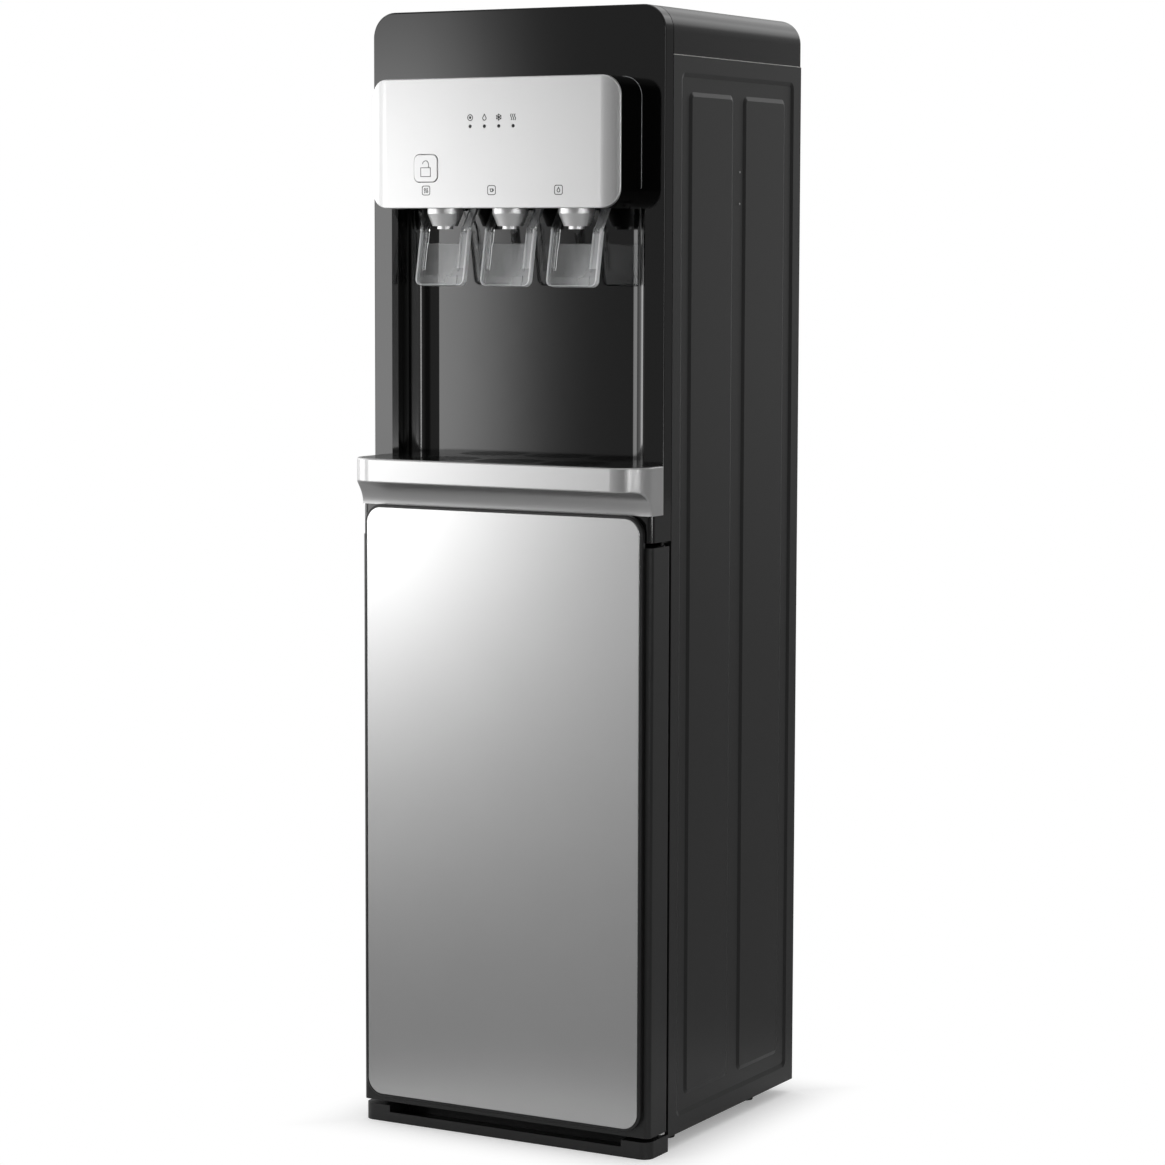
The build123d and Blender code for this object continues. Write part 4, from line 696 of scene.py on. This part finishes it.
def studio_key():
    """The key light: a tall diffuser at the front left, brightest in its middle and soft at its edges."""
    f = new_finish("key_diffuser")
    place = f.place()
    across = f.along("X", place)
    up = f.along("Y", place)
    level = f.window(across, *KEY_ACROSS) ** KEY_FALL * f.window(up, *KEY_UP)
    glow = f.node("ShaderNodeEmission", {}, {"Color": (1.0, 1.0, 1.0, 1.0), "Strength": level * KEY})
    film = f.node("ShaderNodeBsdfTransparent", {}, {"Color": (1.0, 1.0, 1.0, 1.0)})
    both = f.node("ShaderNodeAddShader", {}, {0: glow, 1: film})
    f.plug(f.tree.nodes["Material Output"].inputs["Surface"], both)
    a = math.radians(KEY_AZIMUTH)
    out = Vector((-math.sin(a), -math.cos(a), 0.0))
    right = Vector((-math.cos(a), math.sin(a), 0.0))
    up_way = Vector((0.0, 0.0, 1.0))
    place = Vector((0.0, plate_front, KEY_HEIGHT / 2)) + KEY_DISTANCE * out
    turn = Matrix((right, up_way, -out)).transposed().to_4x4()
    stage_card("key_diffuser", f.holder, KEY_WIDTH, KEY_HEIGHT, Matrix.Translation(place) @ turn)


def studio_floor():
    """A pale floor that keeps the shadow near the object and runs out to white."""
    f = new_finish("pale_floor")
    place = f.place()
    reach = f.node("ShaderNodeVectorMath", {"operation": "LENGTH"}, {0: place}, output="Value")
    side = f.along("X", place)
    ahead = f.along("Y", place)
    beside = f.node("ShaderNodeMath", {"operation": "ABSOLUTE"}, {0: side}) - cad_box[1].x
    before = f.node("ShaderNodeMath", {"operation": "ABSOLUTE"}, {0: ahead}) - panel_high.y
    outside = f.node("ShaderNodeMath", {"operation": "MAXIMUM"}, {0: beside, 1: before})
    far = f.ramp(outside, *FLOOR_FADE)
    lens = f.node("ShaderNodeLightPath", output="Is Camera Ray")
    close = 1 - f.ramp(reach, *CLOSE_REACH)
    cover = lens + (1 - lens) * (close + f.ramp(side, *LEFT_REACH) * LEFT_SHARE)
    paper = f.node("ShaderNodeBsdfDiffuse", {}, {"Color": f.tint(cover, grey(PAPER), grey(PAPER_SEEN))})
    glow = f.node("ShaderNodeEmission", {}, {"Color": (1.0, 1.0, 1.0, 1.0), "Strength": lens * GLOW})
    near = f.node("ShaderNodeAddShader", {}, {0: paper, 1: glow})
    white = f.node("ShaderNodeEmission", {}, {"Color": (1.0, 1.0, 1.0, 1.0), "Strength": 1.0})
    mixed = f.node("ShaderNodeMixShader", {}, {0: lens * far, 1: near, 2: white})
    f.plug(f.tree.nodes["Material Output"].inputs["Surface"], mixed)
    stage_card("floor", f.holder, FLOOR_SIZE, FLOOR_SIZE, Matrix.Identity(4))


bpy.context.scene.view_settings.view_transform = "Standard"
finish_nodes()
make_lamp_marks()
make_tap_marks()
make_lock_mark()
make_cover_highlight_strips()
make_rivets()
make_head_highlight_bead()
studio_camera()
studio_world()
studio_key()
studio_floor()
